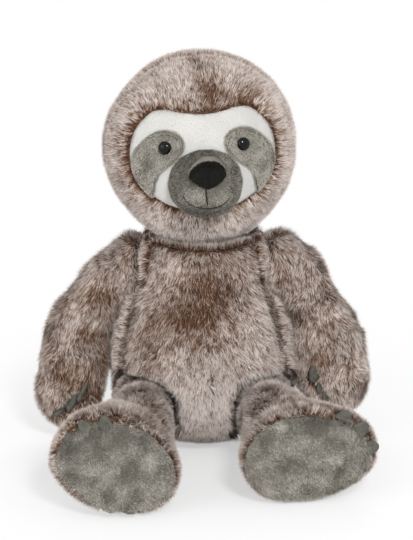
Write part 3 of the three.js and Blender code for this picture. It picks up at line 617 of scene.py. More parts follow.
def grown(name, cloth, tree, inputs):
    """Run a geometry tree on an object, with inputs set by their names, and return a plain mesh object."""
    modifier = cloth.modifiers.new("grow", "NODES")
    modifier.node_group = tree
    for item in tree.interface.items_tree:
        if item.item_type == "SOCKET" and item.in_out == "INPUT" and item.name in inputs:
            modifier[item.identifier] = inputs[item.name]
    shown = cloth.evaluated_get(bpy.context.evaluated_depsgraph_get())
    made = bpy.data.meshes.new_from_object(shown)
    cloth.modifiers.clear()
    for label in ONLY_TO_GROW:
        if label in made.attributes:
            made.attributes.remove(made.attributes[label])
    return new_object(name, made)


STRANDS_PER_MM2 = 3.6
MOST_STRANDS = 98_000
SPARE_CELLS = 1.05
FLOOR_GAP = 0.25 * MM
FUR = {"Length": 7.2 * MM, "Width": 0.52 * MM, "Comb": 1.0, "Ruffle": 0.9, "Ruffles per metre": 60.0,
       "Tufts per metre": 640.0, "Tuft pull": 0.9, "Material": fur}
NAP = {"Length": 1.7 * MM, "Width": 0.36 * MM, "Comb": 0.5, "Ruffle": 0.9, "Ruffles per metre": 90.0,
       "Tufts per metre": 600.0, "Tuft pull": 0.35}


def pile_on(name, cloth, kind, seed, per_mm2=STRANDS_PER_MM2):
    """Grow one kind of pile on a cloth whose mesh holds cover, length, comb and tint."""
    cover = [value.value for value in cloth.data.attributes["cover"].data]
    area = sum(f.area * sum(cover[v] for v in f.vertices) / len(f.vertices) for f in cloth.data.polygons)
    density = min(per_mm2 / MM**2 / (1), MOST_STRANDS / area)
    settings = dict(kind, Strand=strand, Floor=FLOOR_GAP, Seed=seed)
    settings["Width"] *= 1
    settings["Strands per square metre"] = density
    settings["Cells in a row"] = math.ceil(math.sqrt(area * density * SPARE_CELLS)) + 2
    made = grown(name, cloth, pile, settings)
    print(name, round(area / MM**2), "mm2", len(made.data.polygons), "strands")
    return made


# %% [markdown]
# ## What each patch of cloth knows
# The pile takes four things from the cloth: how thick the pile grows (cover), how long it is, which way
# it is combed, and how much paler or browner it is (tint), which in places is painted light and shade. They
# come from the toy itself: the pile is shorter and turned away at a seam or crease, and pressed short beside
# the claws.


# %% Small measures on the cloth
def unit(v):
    return v.normalized() if v.length > 1e-9 else Vector((0, 0, 0))


def blot(place, centre, reach):
    """1 at a centre, fading to 0 over a reach, in millimetres."""
    off = Vector([(a - b * MM) / (r * MM) for a, b, r in zip(place, centre, reach)])
    return math.exp(-off.length_squared)


def blotted(place, marks):
    """The sum of some blots, each given as (strength, centre, reach)."""
    return sum(strength * blot(place, centre, reach) for strength, centre, reach in marks)


def cloudy(place, size, seed):
    """Slow noise from about -0.5 to 0.5 whose clouds are a given number of millimetres across."""
    return noise.noise(place / (size * MM) + Vector((seed, 0, 0)))


def nudged(obj, nudges):
    """Push a form a few millimetres: each nudge has a centre, a reach and a move, in millimetres."""
    places = []
    for vertex in obj.data.vertices:
        moves = [Vector(move) * MM * blot(vertex.co, centre, [reach] * 3) for centre, reach, move in nudges]
        places.append(sum(moves, vertex.co.copy()))
    return reshape(obj, places)


def near_crease(place, crease):
    """How near a place is to a crease seen from in front, from 0 to 1, and the way from the crease to it."""
    start, end, reach = crease
    flat = Vector((place.x, 0, place.z))
    line = end - start
    off = flat - (start + min(1, max(0, (flat - start).dot(line) / line.length_squared)) * line)
    return math.exp(-((off.length / reach) ** 2)), unit(off)


# %% Describe the cloth of a body
SEAM_REACH = 4 * MM
SEAM_DEPTH = 0.9 * MM
SEAM_SHORTENING = 0.22
SEAM_BROWNING = 0.04
WEAK_SEAM = 0.3
CLAW_REACH = 3.6 * MM
CLAW_SHORTEST = 0.35


def cloth_patch(name, mesh, faces, values):
    """A part of a mesh as an object of its own, which carries the values of its points."""
    used = sorted({v for f in faces for v in f})
    new_number = {v: i for i, v in enumerate(used)}
    made = bpy.data.meshes.new(name + "_cloth")
    made.from_pydata([mesh.vertices[v].co[:] for v in used], [], [[new_number[v] for v in f] for f in faces])
    for label, column in values.items():
        kind, field = ("FLOAT_VECTOR", "vector") if label == "comb" else ("FLOAT", "value")
        numbers = np.array([column[v] for v in used], np.float32).ravel()
        made.attributes.new(label, kind, "POINT").data.foreach_set(field, numbers)
    return new_object(name + "_cloth", made)


def described(base, panels, bare, claws, combed, tinted, weak=(), creases=()):
    """Sort a base's faces by panel and work out its pile. Returns {panel: cloth object}."""
    searches = {p: tree_over(p) for p in [*panels, *bare]}
    claw_searches = [tree_over(c) for c in claws]
    mesh = base.data
    owner, sunk = [], []
    values = {"cover": [1.0] * len(mesh.vertices), "length": [], "comb": [], "tint": []}
    for vertex in mesh.vertices:
        place, facing = vertex.co, vertex.normal
        hits = {name: search.find_nearest(place) for name, search in searches.items()}
        mine, other = sorted(hits, key=lambda name: hits[name][3])[:2]
        near = WEAK_SEAM if {mine, other} <= set(weak) else 1
        near *= math.exp(-((hits[other][3] / SEAM_REACH) ** 2))
        away = unit(place - hits[other][0])
        for mark, off in [near_crease(place, crease) for crease in creases if facing.y < 0]:
            if mark > near:
                near, away = mark, off
        gaps = [search.find_nearest(place)[3] / CLAW_REACH for search in claw_searches]
        left_by_claws = min([1.0, *[max(CLAW_SHORTEST, gap) for gap in gaps]])
        owner.append(mine)
        sunk.append(place - facing * SEAM_DEPTH * near)
        values["length"].append((1 - SEAM_SHORTENING * near) * left_by_claws)
        values["comb"].append(combed(place, facing) * (1 - near) + away * near)
        values["tint"].append(tinted(place, facing) - SEAM_BROWNING * near)
    reshape(base, sunk)
    faces = {panel: [] for panel in [*panels, *bare]}
    for face in mesh.polygons:
        faces[owner[face.vertices[0]]].append(face.vertices[:])
    return {panel: cloth_patch(panel, mesh, faces[panel], values) for panel in panels}


# %% [markdown]
# ## Finishing a piece
# Each piece rides its body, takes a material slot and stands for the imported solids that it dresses. A claw
# is cut felt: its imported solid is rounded, turned to lie along the cloth and lifted into the pile.


# %% Finish a piece, and seat the claws
CLAW_VOXEL = 0.6 * MM
CLAW_LIFT = 2.2 * MM
FOOT_CLAW_SCALE = 0.86
IN_FRONT = -0.3


def finish_piece(obj, body, replaced=(), material=None):
    """Let a piece ride its body, take its slot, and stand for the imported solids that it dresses."""
    if material:
        obj.data.materials.clear()
        obj.data.materials.append(material)
    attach(obj, body)
    if replaced:
        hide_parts(*replaced)
    return obj


def felt_claw(node, cloth, body, nudges, spot, shift):
    """A felt claw seated in the pile: at a spot (x, z, scale) seen from in front, or shifted a little."""
    claw = nudged(soft_solid(node + "_felt", [node], CLAW_VOXEL, 5, 0.3 * MM), nudges)
    search = tree_over(cloth)
    corners = [v.co.copy() for v in claw.data.vertices]
    middle = sum(corners, Vector()) / len(corners)
    before = search.find_nearest(middle)[1]
    if spot:
        hit = search.ray_cast(Vector((spot[0] * MM, IN_FRONT, spot[1] * MM)), Vector((0, 1, 0)))
    else:
        hit = search.find_nearest(middle + Vector(shift) * MM)
    scale = spot[2] if spot else FOOT_CLAW_SCALE
    turn = before.rotation_difference(hit[1])
    reshape(claw, [hit[0] + hit[1] * CLAW_LIFT + turn @ (c - middle) * scale for c in corners])
    return finish_piece(claw, body, [node], claw_felt)


# %% [markdown]
# ## One way to make every furred body
# The panels and stuffing of a body become one form, which swells and is nudged to the outline seen in the
# photograph. The claws are seated on it, the fur grows panel by panel, and the form itself stays under the
# fur as the backing cloth.


# %% A furred body
ROOT_DEPTH = 3.2 * MM
BODY_VOXEL = 2.0 * MM
BODY_SMOOTHING = 18


def furred_body(name, body, panels, inner, bare, claws, combed, tinted, seed, closing=(), nudges=(), **more):
    """The cloth form of a body with its pile. Inner solids are stood for, closing ones only shut holes."""
    whole = soft_solid(name, [*panels, *inner, *closing], BODY_VOXEL, BODY_SMOOTHING, -ROOT_DEPTH)
    nudged(swelled(whole, at_seams(panels)), nudges)
    whole.data.shade_smooth()
    felts = [felt_claw(node, whole, body, nudges, spot, shift) for node, spot, shift in claws]
    cloths = described(whole, panels, bare, felts, combed, tinted, **more)
    for number, (panel, cloth) in enumerate(cloths.items()):
        finish_piece(pile_on(panel + "_fur", cloth, FUR, seed + number), body)
        bpy.data.objects.remove(cloth)
    finish_piece(whole, body, [*panels, *inner], backing)
    print(name, len(whole.data.polygons), "faces")


# %% [markdown]
# ## The torso
# The torso is a pear of stuffing in three panels. The pile on the belly runs down and outwards, is darker in
# the middle and paler along the side seams, with a thin band of painted shade under the head. A short dart
# pinches the lower belly.


# %% The torso
COMB_STRENGTH = 0.8
BELLY_SPREAD = 6
SHOULDER_SPREAD = 12
TORSO_TONE = -0.08


def torso_comb(place, normal):
    """Down and outwards, most of all over the shoulders, with slow swirls."""
    over = max(0.0, normal.z)
    out = place.x * (BELLY_SPREAD + SHOULDER_SPREAD * over) + 0.4 * cloudy(place, 22, 3)
    return Vector((out, -1.2 * over, -1.0)) * COMB_STRENGTH


# The fourth mark, a thin dark band across the top of the torso under the head, is painted shade. The others
# are darker and paler patches.
TORSO_MARKS_AND_PAINTED_SHADE = [
    (-0.72, (4, -55, 128), (26, 40, 20)), (-0.7, (-14, -55, 106), (22, 40, 10)),
    (-0.5, (2, -55, 89), (22, 40, 7)), (-0.06, (0, -50, 150), (40, 40, 8)),
    (0.12, (42, -50, 107), (18, 40, 34)), (0.4, (0, -60, 44), (48, 40, 20)),
    (0.06, (27, -60, 47), (20, 40, 18)), (-0.36, (-36, -50, 76), (15, 40, 24)),
    (0.1, (60, -20, 100), (14, 60, 60)), (0.1, (-60, -20, 130), (14, 60, 40)),
]


def torso_tint_and_painted_shade(place, normal):
    return TORSO_TONE + blotted(place, TORSO_MARKS_AND_PAINTED_SHADE) + 0.07 * cloudy(place, 14, 5)


torso_panels = ["torso_front_panel", "torso_back_left", "torso_back_right"]
belly_dart = (Vector((6.5 * MM, 0, 66 * MM)), Vector((5.5 * MM, 0, 34 * MM)), 1.5 * MM)
TORSO_NUDGES = [
    ((-66, 0, 80), 30, (-2.5, 0, 0)), ((66, 0, 72), 30, (3, 0, 0)), ((58, -20, 50), 16, (4, 0, 0)),
    ((-56, 0, 116), 20, (-2.5, 0, 0)), ((56, 0, 116), 20, (2.5, 0, 0)),
]
furred_body(
    "torso_body", "torso", torso_panels, ["torso_fill"], [], [], torso_comb, torso_tint_and_painted_shade, 11,
    creases=[belly_dart], nudges=TORSO_NUDGES,
)

# %% [markdown]
# ## The head
# The hood is two front panels that meet over the forehead and under the chin, and one back panel. Its pile
# is combed away from the face all round, and it is short and brown at the edge of the white mask.

# %% The head's hood
HEAD_TURN = math.radians(4)
HEAD_TILT = math.radians(-2.2)
neck = Vector((0, 3 * MM, 150 * MM))
head_turn = Matrix.Rotation(HEAD_TURN, 3, "Z") @ Matrix.Rotation(HEAD_TILT, 3, "Y")
head_place = Matrix.Translation(neck) @ head_turn.to_4x4()
head_back_again = head_place.inverted()
mask_search = tree_over("face_mask")
HOOD_MIDDLE = 66 * MM
MASK_EDGE = 5 * MM
MASK_EDGE_BROWNING = 0.22
HEAD_TONE = -0.03


def head_comb(place, normal):
    """Away from the middle of the face, and down at the back."""
    own = head_back_again @ place
    out = head_turn @ unit(Vector((own.x, 0, own.z - HOOD_MIDDLE)))
    behind = min(1, max(0, normal.y))
    return (out * (1 - behind) + Vector((0, 0, -1)) * behind) * COMB_STRENGTH


# The first five marks are brown streaks on the forehead. The sixth, low on the front of the head, is painted
# shade under the chin, and the last two paint the head's right side darker and its left side paler, as the
# light falls.
HEAD_MARKS_AND_PAINTED_LIGHT = [
    (-0.66, (4, -50, 114), (10, 30, 8)), (-0.34, (7, -50, 130), (8, 30, 12)),
    (-0.2, (-2, -30, 143), (8, 30, 12)), (-0.5, (33, -50, 112), (12, 30, 6)),
    (-0.14, (-46, -40, 106), (9, 30, 7)), (-0.06, (0, -40, 22), (40, 30, 7)),
    (-0.14, (-62, -30, 66), (12, 40, 40)), (0.1, (62, -30, 66), (12, 40, 40)),
]


def head_tint_and_painted_light(place, normal):
    gap = mask_search.find_nearest(place)[3]
    edge = math.exp(-((gap / MASK_EDGE) ** 2)) * (1 + cloudy(place, 9, 7))
    tone = HEAD_TONE - MASK_EDGE_BROWNING * edge
    return tone + blotted(head_back_again @ place, HEAD_MARKS_AND_PAINTED_LIGHT) + 0.05 * cloudy(place, 12, 9)


head_panels = ["head_front_left", "head_front_right", "head_back"]
head_closing = ["face_mask", "left_eye", "right_eye", "left_eye_washer", "right_eye_washer", "muzzle"]
hood_crease = (Vector((-70, 0, 238)) * MM, Vector((-70.5, 0, 211)) * MM, 2.2 * MM)
HEAD_NUDGES = [
    ((-56, 0, 171), 18, (3, 0, 1.5)), ((58, 0, 171), 18, (-2.5, 0, 1.5)), ((-52, 0, 262), 20, (2, 0, -1.5)),
]
furred_body(
    "head_body", "head", head_panels, ["head_fill"], ["face_mask", "muzzle"], [], head_comb, head_tint_and_painted_light, 31,
    closing=head_closing, nudges=HEAD_NUDGES, weak=head_panels[:2], creases=[hood_crease],
)

# %% [markdown]
# ## Arms and legs
# Each limb is a tube of fur with a ball at its root. The pile runs down the arms to the hands, and along the
# legs to the feet, where it curls round the rim of the sole. The tables hold what the photograph shows and
# no rule would give: darker and paler places, some of them painted light and shade, small pushes to the
# outline, and where each claw sits.


# %% Arms and legs
# On the right arm, the pale ridge at the elbow (the sixth mark) and the dark place under it (the second) are
# a painted highlight and painted shade of a fold. The other marks are darker and paler patches.
ARM_MARKS_AND_PAINTED_LIGHT = {
    "right": [
        (-0.34, (-76, -25, 113), (14, 40, 8)), (-0.44, (-85, -30, 84), (9, 40, 10)),
        (-0.6, (-72, -30, 62), (8, 40, 16)), (-0.56, (-98, -30, 56), (14, 40, 9)),
        (-0.24, (-46, -20, 146), (12, 40, 9)), (0.4, (-89, -30, 95), (11, 40, 3.5)),
        (-0.4, (-82, -30, 40), (10, 40, 10)),
    ],
    "left": [
        (-0.6, (86, -30, 69), (10, 40, 9)), (-0.08, (91, -30, 98), (12, 40, 14)),
        (-0.16, (70, -20, 142), (12, 40, 9)), (-0.26, (59, -20, 127), (5, 40, 10)),
        (0.2, (100, -30, 56), (18, 40, 20)), (0.08, (78, -30, 133), (20, 40, 16)),
    ],
}
ARM_FRONT_TONE_AND_SHADE = {"right": -0.3, "left": -0.28}
ARM_NUDGES = {
    "right": [
        ((-80, 0, 152), 24, (5.5, 0, -1.5)), ((-70, 0, 78), 24, (3, 0, 0)), ((-96, -20, 28), 28, (2, -1, -9)),
        ((-82, -20, 32), 10, (-4, 0, 1)), ((-64, 0, 114), 20, (5, 0, 0)),
    ],
    "left": [
        ((72, 0, 160), 24, (-1.5, 0, 5)), ((70, 0, 74), 26, (-4, 0, 0)), ((72, -10, 52), 18, (-4, 0, 0)),
        ((64, 0, 114), 20, (-5, 0, 0)),
    ],
}
FOOT_NUDGES = {
    "right": [
        ((-82, -135, 90), 26, (0, 2, -6)), ((-104, -150, 14), 34, (-8, -7, 1)),
        ((-60, -150, 8), 24, (-3, -9, 1)), ((-42, -62, 58), 20, (0, -5, 6)),
        ((-106, -150, 62), 18, (6, 0, -2)),
    ],
    "left": [
        ((108, -150, 46), 34, (6, 0, 3)), ((108, -150, 24), 30, (6, -3, -1)), ((42, -62, 58), 20, (0, -5, 6)),
    ],
}
CLAW_SPOTS = {
    "right_hand": [(-89, 40.5, 1.1), (-97.5, 33.5, 1.1), (-106, 26, 1.0)],
    "left_hand": [(82, 54, 1.0), (86, 44, 0.6), (90, 38, 0.6)],
}
FOOT_CLAW_SHIFTS = {
    "right_foot": [(1.5, 0, 0.5), (0, 0, 0), (0.5, 0, 0)],
    "left_foot": [(0, 0, 2), (1, 0, 3), (2, 0, 4)],
}


def claws_of(limb):
    """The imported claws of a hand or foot, each with a spot seen from in front, or a small shift."""
    spots, shifts = CLAW_SPOTS.get(limb, [None] * 3), FOOT_CLAW_SHIFTS.get(limb, [None] * 3)
    return [(f"{limb}_claw_{i + 1}", spots[i], shifts[i]) for i in range(3)]


ARM_COMB_STRENGTH = 0.85
ARM_SIDE_TONE_AND_SHEEN = 0.12


def arm_comb(place, normal):
    """Down the arm, and outwards over the top of the shoulder, with slow swirls."""
    out = math.copysign(0.9, place.x) * max(0.0, normal.z)
    swirl = (out + 0.8 * cloudy(place, 16, 11), -0.25, -1 + 0.7 * cloudy(place, 16, 13))
    return Vector(swirl) * ARM_COMB_STRENGTH


# Painted light: an arm is painted darker where it faces forward, as shade down in the pile, and paler on its
# sides and back, as a sheen. The marks lie on the front only.
def arm_tint_and_painted_light(place, normal):
    side = "right" if place.x < 0 else "left"
    front = max(0.0, -normal.y)
    tone = ARM_SIDE_TONE_AND_SHEEN * (1 - front) + ARM_FRONT_TONE_AND_SHADE[side] * front
    return tone + blotted(place, ARM_MARKS_AND_PAINTED_LIGHT[side]) * front + 0.07 * cloudy(place, 11, 15)


def leg_comb(place, normal):
    """Along the leg to the foot, with slow swirls."""
    swirl = (0.8 * cloudy(place, 16, 17), -1, 0.1 + 0.6 * cloudy(place, 16, 19))
    return Vector(swirl) * COMB_STRENGTH


LEG_TONE = 0.1
THIGH_PALING = 0.1
SOLE_RIM_BROWNING = 0.2
SOLE_RIM = 7 * MM
THIGH_MIDDLE = -70 * MM
THIGH_REACH = 30 * MM


def leg_tint_beside(sole):
    """Brown beside the sole, where the pile parts, and pale on the rest of the leg."""
    search = tree_over(sole)

    def tint(place, normal):
        gap = search.find_nearest(place)[3]
        edge = math.exp(-((gap / SOLE_RIM) ** 2)) * (1 + 1.2 * cloudy(place, 8, 21))
        thigh = math.exp(-(((place.y - THIGH_MIDDLE) / THIGH_REACH) ** 2))
        tone = LEG_TONE + THIGH_PALING * thigh - SOLE_RIM_BROWNING * edge
        return tone + 0.04 * cloudy(place, 12, 23)

    return tint


SOLE_VOXEL = 1.2 * MM
soles = {}
for number, side in enumerate(("right", "left")):
    arm_panels = [f"{side}_arm_front", f"{side}_arm_back"]
    leg_panels = [f"{side}_leg_inner", f"{side}_leg_outer"]
    sole = f"{side}_sole"
    furred_body(
        f"{side}_arm_body", f"{side}_arm", arm_panels, [f"{side}_arm_fill"], [], claws_of(f"{side}_hand"),
        arm_comb, arm_tint_and_painted_light, 51 + 10 * number, nudges=ARM_NUDGES[side], weak=arm_panels,
    )
    pad = soft_solid(sole + "_pad", [sole], SOLE_VOXEL, 10, 0.6 * MM, hull=True)
    soles[side] = nudged(swelled(pad, at_back), FOOT_NUDGES[side])
    furred_body(
        f"{side}_leg_body", f"{side}_leg", leg_panels, [f"{side}_leg_fill"], [sole], claws_of(f"{side}_foot"),
        leg_comb, leg_tint_beside(pad), 71 + 10 * number, closing=[sole], nudges=FOOT_NUDGES[side],
        weak=leg_panels,
    )

# %% [markdown]
# ## The face surface
# The mask and the eye patches are cloth appliqués that lie on one smooth curve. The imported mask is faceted,
# so its front is sampled with rays and a smooth polynomial is fitted to it. Everything on the face is then
# placed with that one function, in the head's own directions: x to its left, z up, y out of the back.

# %% Fit the face surface
ORDER = 4
FACE_SCALE = 50 * MM
FACE_MIDDLE = 70 * MM
SAMPLE_STEP = 3
SAMPLES_ACROSS = range(-50, 51, SAMPLE_STEP)
SAMPLES_UP = range(30, 110, SAMPLE_STEP)
SHALLOWEST = 20 * MM
powers = [(i, j) for i in range(ORDER + 1) for j in range(ORDER + 1 - i)]


def face_terms(x, z):
    return [(x / FACE_SCALE) ** i * ((z - FACE_MIDDLE) / FACE_SCALE) ** j for i, j in powers]


local_mask = [head_back_again @ v.co for v in cad["face_mask"].data.vertices]
cad["face_mask"].data.calc_loop_triangles()
mask_faces = [t.vertices[:] for t in cad["face_mask"].data.loop_triangles]
local_search = BVHTree.FromPolygons(local_mask, mask_faces)
samples = []
for x in SAMPLES_ACROSS:
    for z in SAMPLES_UP:
        hit = local_search.ray_cast(Vector((x * MM, IN_FRONT, z * MM)), Vector((0, 1, 0)))[0]
        if hit and abs(hit.y) > SHALLOWEST:
            samples.append((x * MM, z * MM, hit.y))
rows = np.array([face_terms(x, z) for x, z, _ in samples])
depths = np.array(samples)[:, 2]
weights = np.linalg.lstsq(rows, depths, rcond=None)[0]
worst = float(np.abs(rows @ weights - depths).max()) / MM
print("face fitted to", len(samples), "points, worst", round(worst, 2), "mm")


def face_depth(x, z):
    """How far forward the face surface lies, as the head's own y."""
    return float(np.dot(weights, face_terms(x, z)))


def face_point(flat):
    """The place on the face surface at a flat (x, z), in the head's own directions."""
    return Vector((flat.x, face_depth(flat.x, flat.y), flat.y))


def face_normal(x, z, step=0.5 * MM):
    slope_x = (face_depth(x + step, z) - face_depth(x - step, z)) / (2 * step)
    slope_z = (face_depth(x, z + step) - face_depth(x, z - step)) / (2 * step)
    return Vector((slope_x, -1, slope_z)).normalized()


# %% [markdown]
# ## Sewn cloth shapes
# An appliqué is a closed shape with a rounded edge: rings of points from its middle to its outline, lifted
# a little off the face, with the last rings rolled down to the cloth below.


# %% Make sewn shapes
def between(a, b, c, d, t):
    """The place at t from 0 to 1 between b and c, on a smooth line through a, b, c and d."""
    squared, cubed = 2 * a - 5 * b + 4 * c - d, 3 * b - a - 3 * c + d
    return 0.5 * (2 * b + (c - a) * t + squared * t * t + cubed * t**3)


def closed_curve(shares, middle, size, steps):
    """A smooth closed outline through listed points, given as shares of half the size."""
    points = [Vector((middle[0] + x * size[0] / 2, middle[1] + z * size[1] / 2)) for x, z in shares]
    count = len(points)
    fours = [[points[(index + k - 1) % count] for k in range(4)] for index in range(count)]
    return [between(*four, step / steps) for four in fours for step in range(steps)]


RIM_START = 0.9


def sewn_shape(name, outline, lift, thick, rings=18):
    """A closed piece of cloth over the face surface, lifted off it, with its rim rolled down."""
    middle = sum(outline, Vector((0, 0))) / len(outline)
    count = len(outline)
    bm = bmesh.new()
    tops, unders = [], []
    for ring in range(rings + 1):
        share = ring / rings
        rim = max(0.0, (share - RIM_START) / (1 - RIM_START))
        raised = lift * math.sqrt(max(0.0, 1 - rim**2))
        flats = [middle + (point - middle) * share for point in (outline if ring else outline[:1])]
        outs = [face_normal(flat.x, flat.y) for flat in flats]
        for rows, height in ((tops, raised), (unders, -thick)):
            places = [face_point(flat) + out * height for flat, out in zip(flats, outs)]
            rows.append([bm.verts.new(head_place @ place) for place in places])
    for rows, flip in ((tops, False), (unders, True)):
        for k in range(count):
            n = (k + 1) % count
            faces = [(rows[0][0], rows[1][k], rows[1][n])]
            faces += [(rows[r][k], rows[r + 1][k], rows[r + 1][n], rows[r][n]) for r in range(1, rings)]
            for face in faces:
                bm.faces.new(face[::-1] if flip else face)
    for k in range(count):
        n = (k + 1) % count
        bm.faces.new((tops[-1][k], unders[-1][k], unders[-1][n], tops[-1][n]))
    bmesh.ops.recalc_face_normals(bm, faces=bm.faces)
    return new_object(name, mesh_of(bm, name))


def mirrored(shares):
    return [*shares, *[(-x, z) for x, z in reversed(shares) if x != 0]]


# %% [markdown]
# Short naps cover every cloth shape of the face and the soles. A nap grows only where the piece shows.


# %% Grow a short nap
NAP_PER_MM2 = 5.0


def untinted(place):
    return 0.0


def napped(name, obj, body, kind, material, seed, keep, comb, per_mm2=NAP_PER_MM2, tinted=untinted):
    """Grow a short nap over the part of a piece where keep(place, normal) is 1."""
    mesh = obj.data
    cover = [keep(v.co, v.normal) for v in mesh.vertices]
    values = {
        "cover": cover,
        "length": [1.0] * len(cover),
        "comb": [comb(v.co) if callable(comb) else Vector(comb) for v in mesh.vertices],
        "tint": [tinted(v.co) for v in mesh.vertices],
    }
    faces = [f.vertices[:] for f in mesh.polygons if any(cover[v] > 0 for v in f.vertices)]
    cloth = cloth_patch(name, mesh, faces, values)
    hair = pile_on(name, cloth, dict(kind, Material=material), seed, per_mm2)
    bpy.data.objects.remove(cloth)
    finish_piece(hair, body)


FACE_RIM_FACING = 0.15


def facing_out(place, normal):
    """1 on the side of a face piece that shows."""
    return 1.0 if (head_back_again.to_3x3() @ normal).y < FACE_RIM_FACING else 0.0


# %% [markdown]
# ## The mask
# The white mask is one piece of flannel with a straight brow and a pointed chin. Its outline is drawn for
# one side and mirrored.


# %% The white mask
MASK_SIZE = (102 * MM, 73 * MM)
MASK_MIDDLE = (0, FACE_MIDDLE)
mask_shares = [
    (0, 0.9), (0.25, 0.93), (0.5, 0.985), (0.66, 0.95), (0.8, 0.8), (0.92, 0.58), (0.985, 0.32), (1, 0.08),
    (0.975, -0.15), (0.91, -0.36), (0.8, -0.56), (0.63, -0.74), (0.42, -0.88), (0, -1),
]
mask_outline = closed_curve(mirrored(mask_shares), MASK_MIDDLE, MASK_SIZE, 6)
MASK_LIFT = 0.4 * MM
MASK_THICK = 1.6 * MM
mask = sewn_shape("white_mask", mask_outline, MASK_LIFT, MASK_THICK, 26)
finish_piece(mask, "head", ["face_mask"], white_cloth)
FLANNEL = {**NAP, "Length": 0.7 * MM, "Ruffle": 0.3, "Comb": 0.85, "Tuft pull": 0.0}
napped("white_mask_nap", mask, "head", FLANNEL, white_nap, 101, facing_out, (0, 0, -1), 2.6)
print("mask", len(mask.data.polygons), "faces")

# %% [markdown]
# ## Eye patches
# Each patch is a grey leaf of short cloth, sewn down a little inside its edge with one row of dark stitches.
# Only the left outline is drawn, and the right one is its mirror image. The stitches come later, with the
# other threads.

# %% The eye patches
PATCH_SIZE = (38 * MM, 48 * MM)
PATCH_LIFT = 1.9 * MM
patch_middle = (27 * MM, 71.5 * MM)
PATCH_THICK = 0.2 * MM
patch_shares = [
    (-0.68, 0.41), (-0.66, 0.63), (-0.42, 0.82), (0.02, 0.88), (0.4, 0.79), (0.75, 0.58), (1.1, 0.24),
    (1.21, -0.12), (1.08, -0.55), (0.8, -0.88), (0.54, -1.1), (0.46, -0.94), (0.39, -0.64), (0.21, -0.35),
    (-0.1, -0.13), (-0.53, 0.17),
]
# Painted light on the patches: painted shade round the eye and low on the outer side, and a painted highlight
# above the eye on the inner side. The left patch is painted paler than the right, as the light falls.
PATCH_PAINTED_LIGHT = [
    (-0.16, (28, -60, 80), (8, 30, 8)), (0.12, (17, -60, 88), (9, 30, 9)),
    (-0.1, (44, -60, 62), (10, 30, 12)), (0.06, (34, -60, 64), (9, 30, 9)),
]
PATCH_TONE_AND_PAINTED_LIGHT = {"left": 0.48, "right": 0.28}
patch_outlines = {}
for side, sign in (("left", 1), ("right", -1)):
    outline = closed_curve(patch_shares, patch_middle, PATCH_SIZE, 6)
    outline = [Vector((p.x * sign, p.y)) for p in outline][::sign]
    patch_outlines[side] = outline
    patch = sewn_shape(f"{side}_patch", outline, PATCH_LIFT, PATCH_THICK, 16)
    finish_piece(patch, "head", [f"{side}_eye_patch"], grey_cloth)

    def patch_tint_and_painted_light(place):
        own = head_back_again @ place
        own.x *= sign
        return PATCH_TONE_AND_PAINTED_LIGHT[side] + blotted(own, PATCH_PAINTED_LIGHT) + 0.1 * cloudy(place, 6, 37)

    napped(
        f"{side}_patch_nap", patch, "head", NAP, grey_nap, 111, facing_out, (0.2 * sign, 0, -1),
        tinted=patch_tint_and_painted_light,
    )
print("patches", list(patch_outlines))

# %% [markdown]
# ## Eyes
# A safety eye is a turned button: a low dome with a thin rim, on a shank. It is revolved from a profile and
# set into the patch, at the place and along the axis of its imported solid.


# %% The eyes
def turned(name, profile, place, axis, segments=48):
    """A solid of revolution from (radius, height) points, turned about an axis that starts at a place."""
    turn = Vector((0, 0, 1)).rotation_difference(axis)
    angles = [k * math.tau / segments for k in range(segments)]
    around = [Vector((math.cos(angle), math.sin(angle), 0)) for angle in angles]
    up = Vector((0, 0, 1))
    bm = bmesh.new()
    rows = []
    for radius, height in profile:
        ways = around if radius > 0 else around[:1]
        rows.append([bm.verts.new(place + turn @ (way * radius + up * height)) for way in ways])
    for low, high in zip(rows, rows[1:]):
        for k in range(segments):
            n = (k + 1) % segments
            corners = [low[k % len(low)], low[n % len(low)], high[n % len(high)], high[k % len(high)]]
            bm.faces.new(list(dict.fromkeys(corners)))
    bmesh.ops.recalc_face_normals(bm, faces=bm.faces)
    return new_object(name, mesh_of(bm, name))


EYE_RADIUS = 4.6 * MM
EYE_BULGE = 2.7 * MM
EYE_SEAT = 0.6 * MM
RIM_HEIGHTS = (-1.2 * MM, -0.8 * MM)
RIM_CHAMFER_SHARE = 0.96
SHANK_RADIUS = 1.6 * MM
SHANK_LENGTH = 11 * MM
DOME_STEPS = 12
dome = [
    (0, -SHANK_LENGTH), (SHANK_RADIUS, -SHANK_LENGTH), (SHANK_RADIUS, RIM_HEIGHTS[0]),
    (EYE_RADIUS * RIM_CHAMFER_SHARE, RIM_HEIGHTS[0]), (EYE_RADIUS, RIM_HEIGHTS[1]),
]
for step in range(DOME_STEPS):
    angle = step / DOME_STEPS * math.pi / 2
    dome.append((EYE_RADIUS * math.cos(angle), EYE_BULGE * math.sin(angle)))
dome.append((0, EYE_BULGE))
for side, sign in (("left", 1), ("right", -1)):
    axis = (head_turn @ Vector((sign * 0.28, -1, 0.12))).normalized()
    tip = max((v.co for v in cad[f"{side}_eye"].data.vertices), key=lambda c: c.dot(axis))
    seat = tip - axis * (EYE_BULGE - EYE_SEAT)
    eye = turned(f"{side}_eye_button", dome, seat, axis)
    finish_piece(eye, "head", [f"{side}_eye"], eye_gloss)
    cad[f"{side}_eye_washer"].data.materials.clear()
    cad[f"{side}_eye_washer"].data.materials.append(washer_plastic)
    print(side, "eye at", tuple(round(c / MM) for c in seat))

# %% [markdown]
# ## Muzzle and nose
# The muzzle is a stuffed cone of grey cloth and the nose a padded triangle of black felt cloth. Both are
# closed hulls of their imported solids, remeshed finely and smoothed, then given a nap.

# %% The muzzle
NOSE_TOP = 76.5 * MM
NOSE_GAP = 0.9 * MM
MUZZLE_MIDDLE = 64 * MM
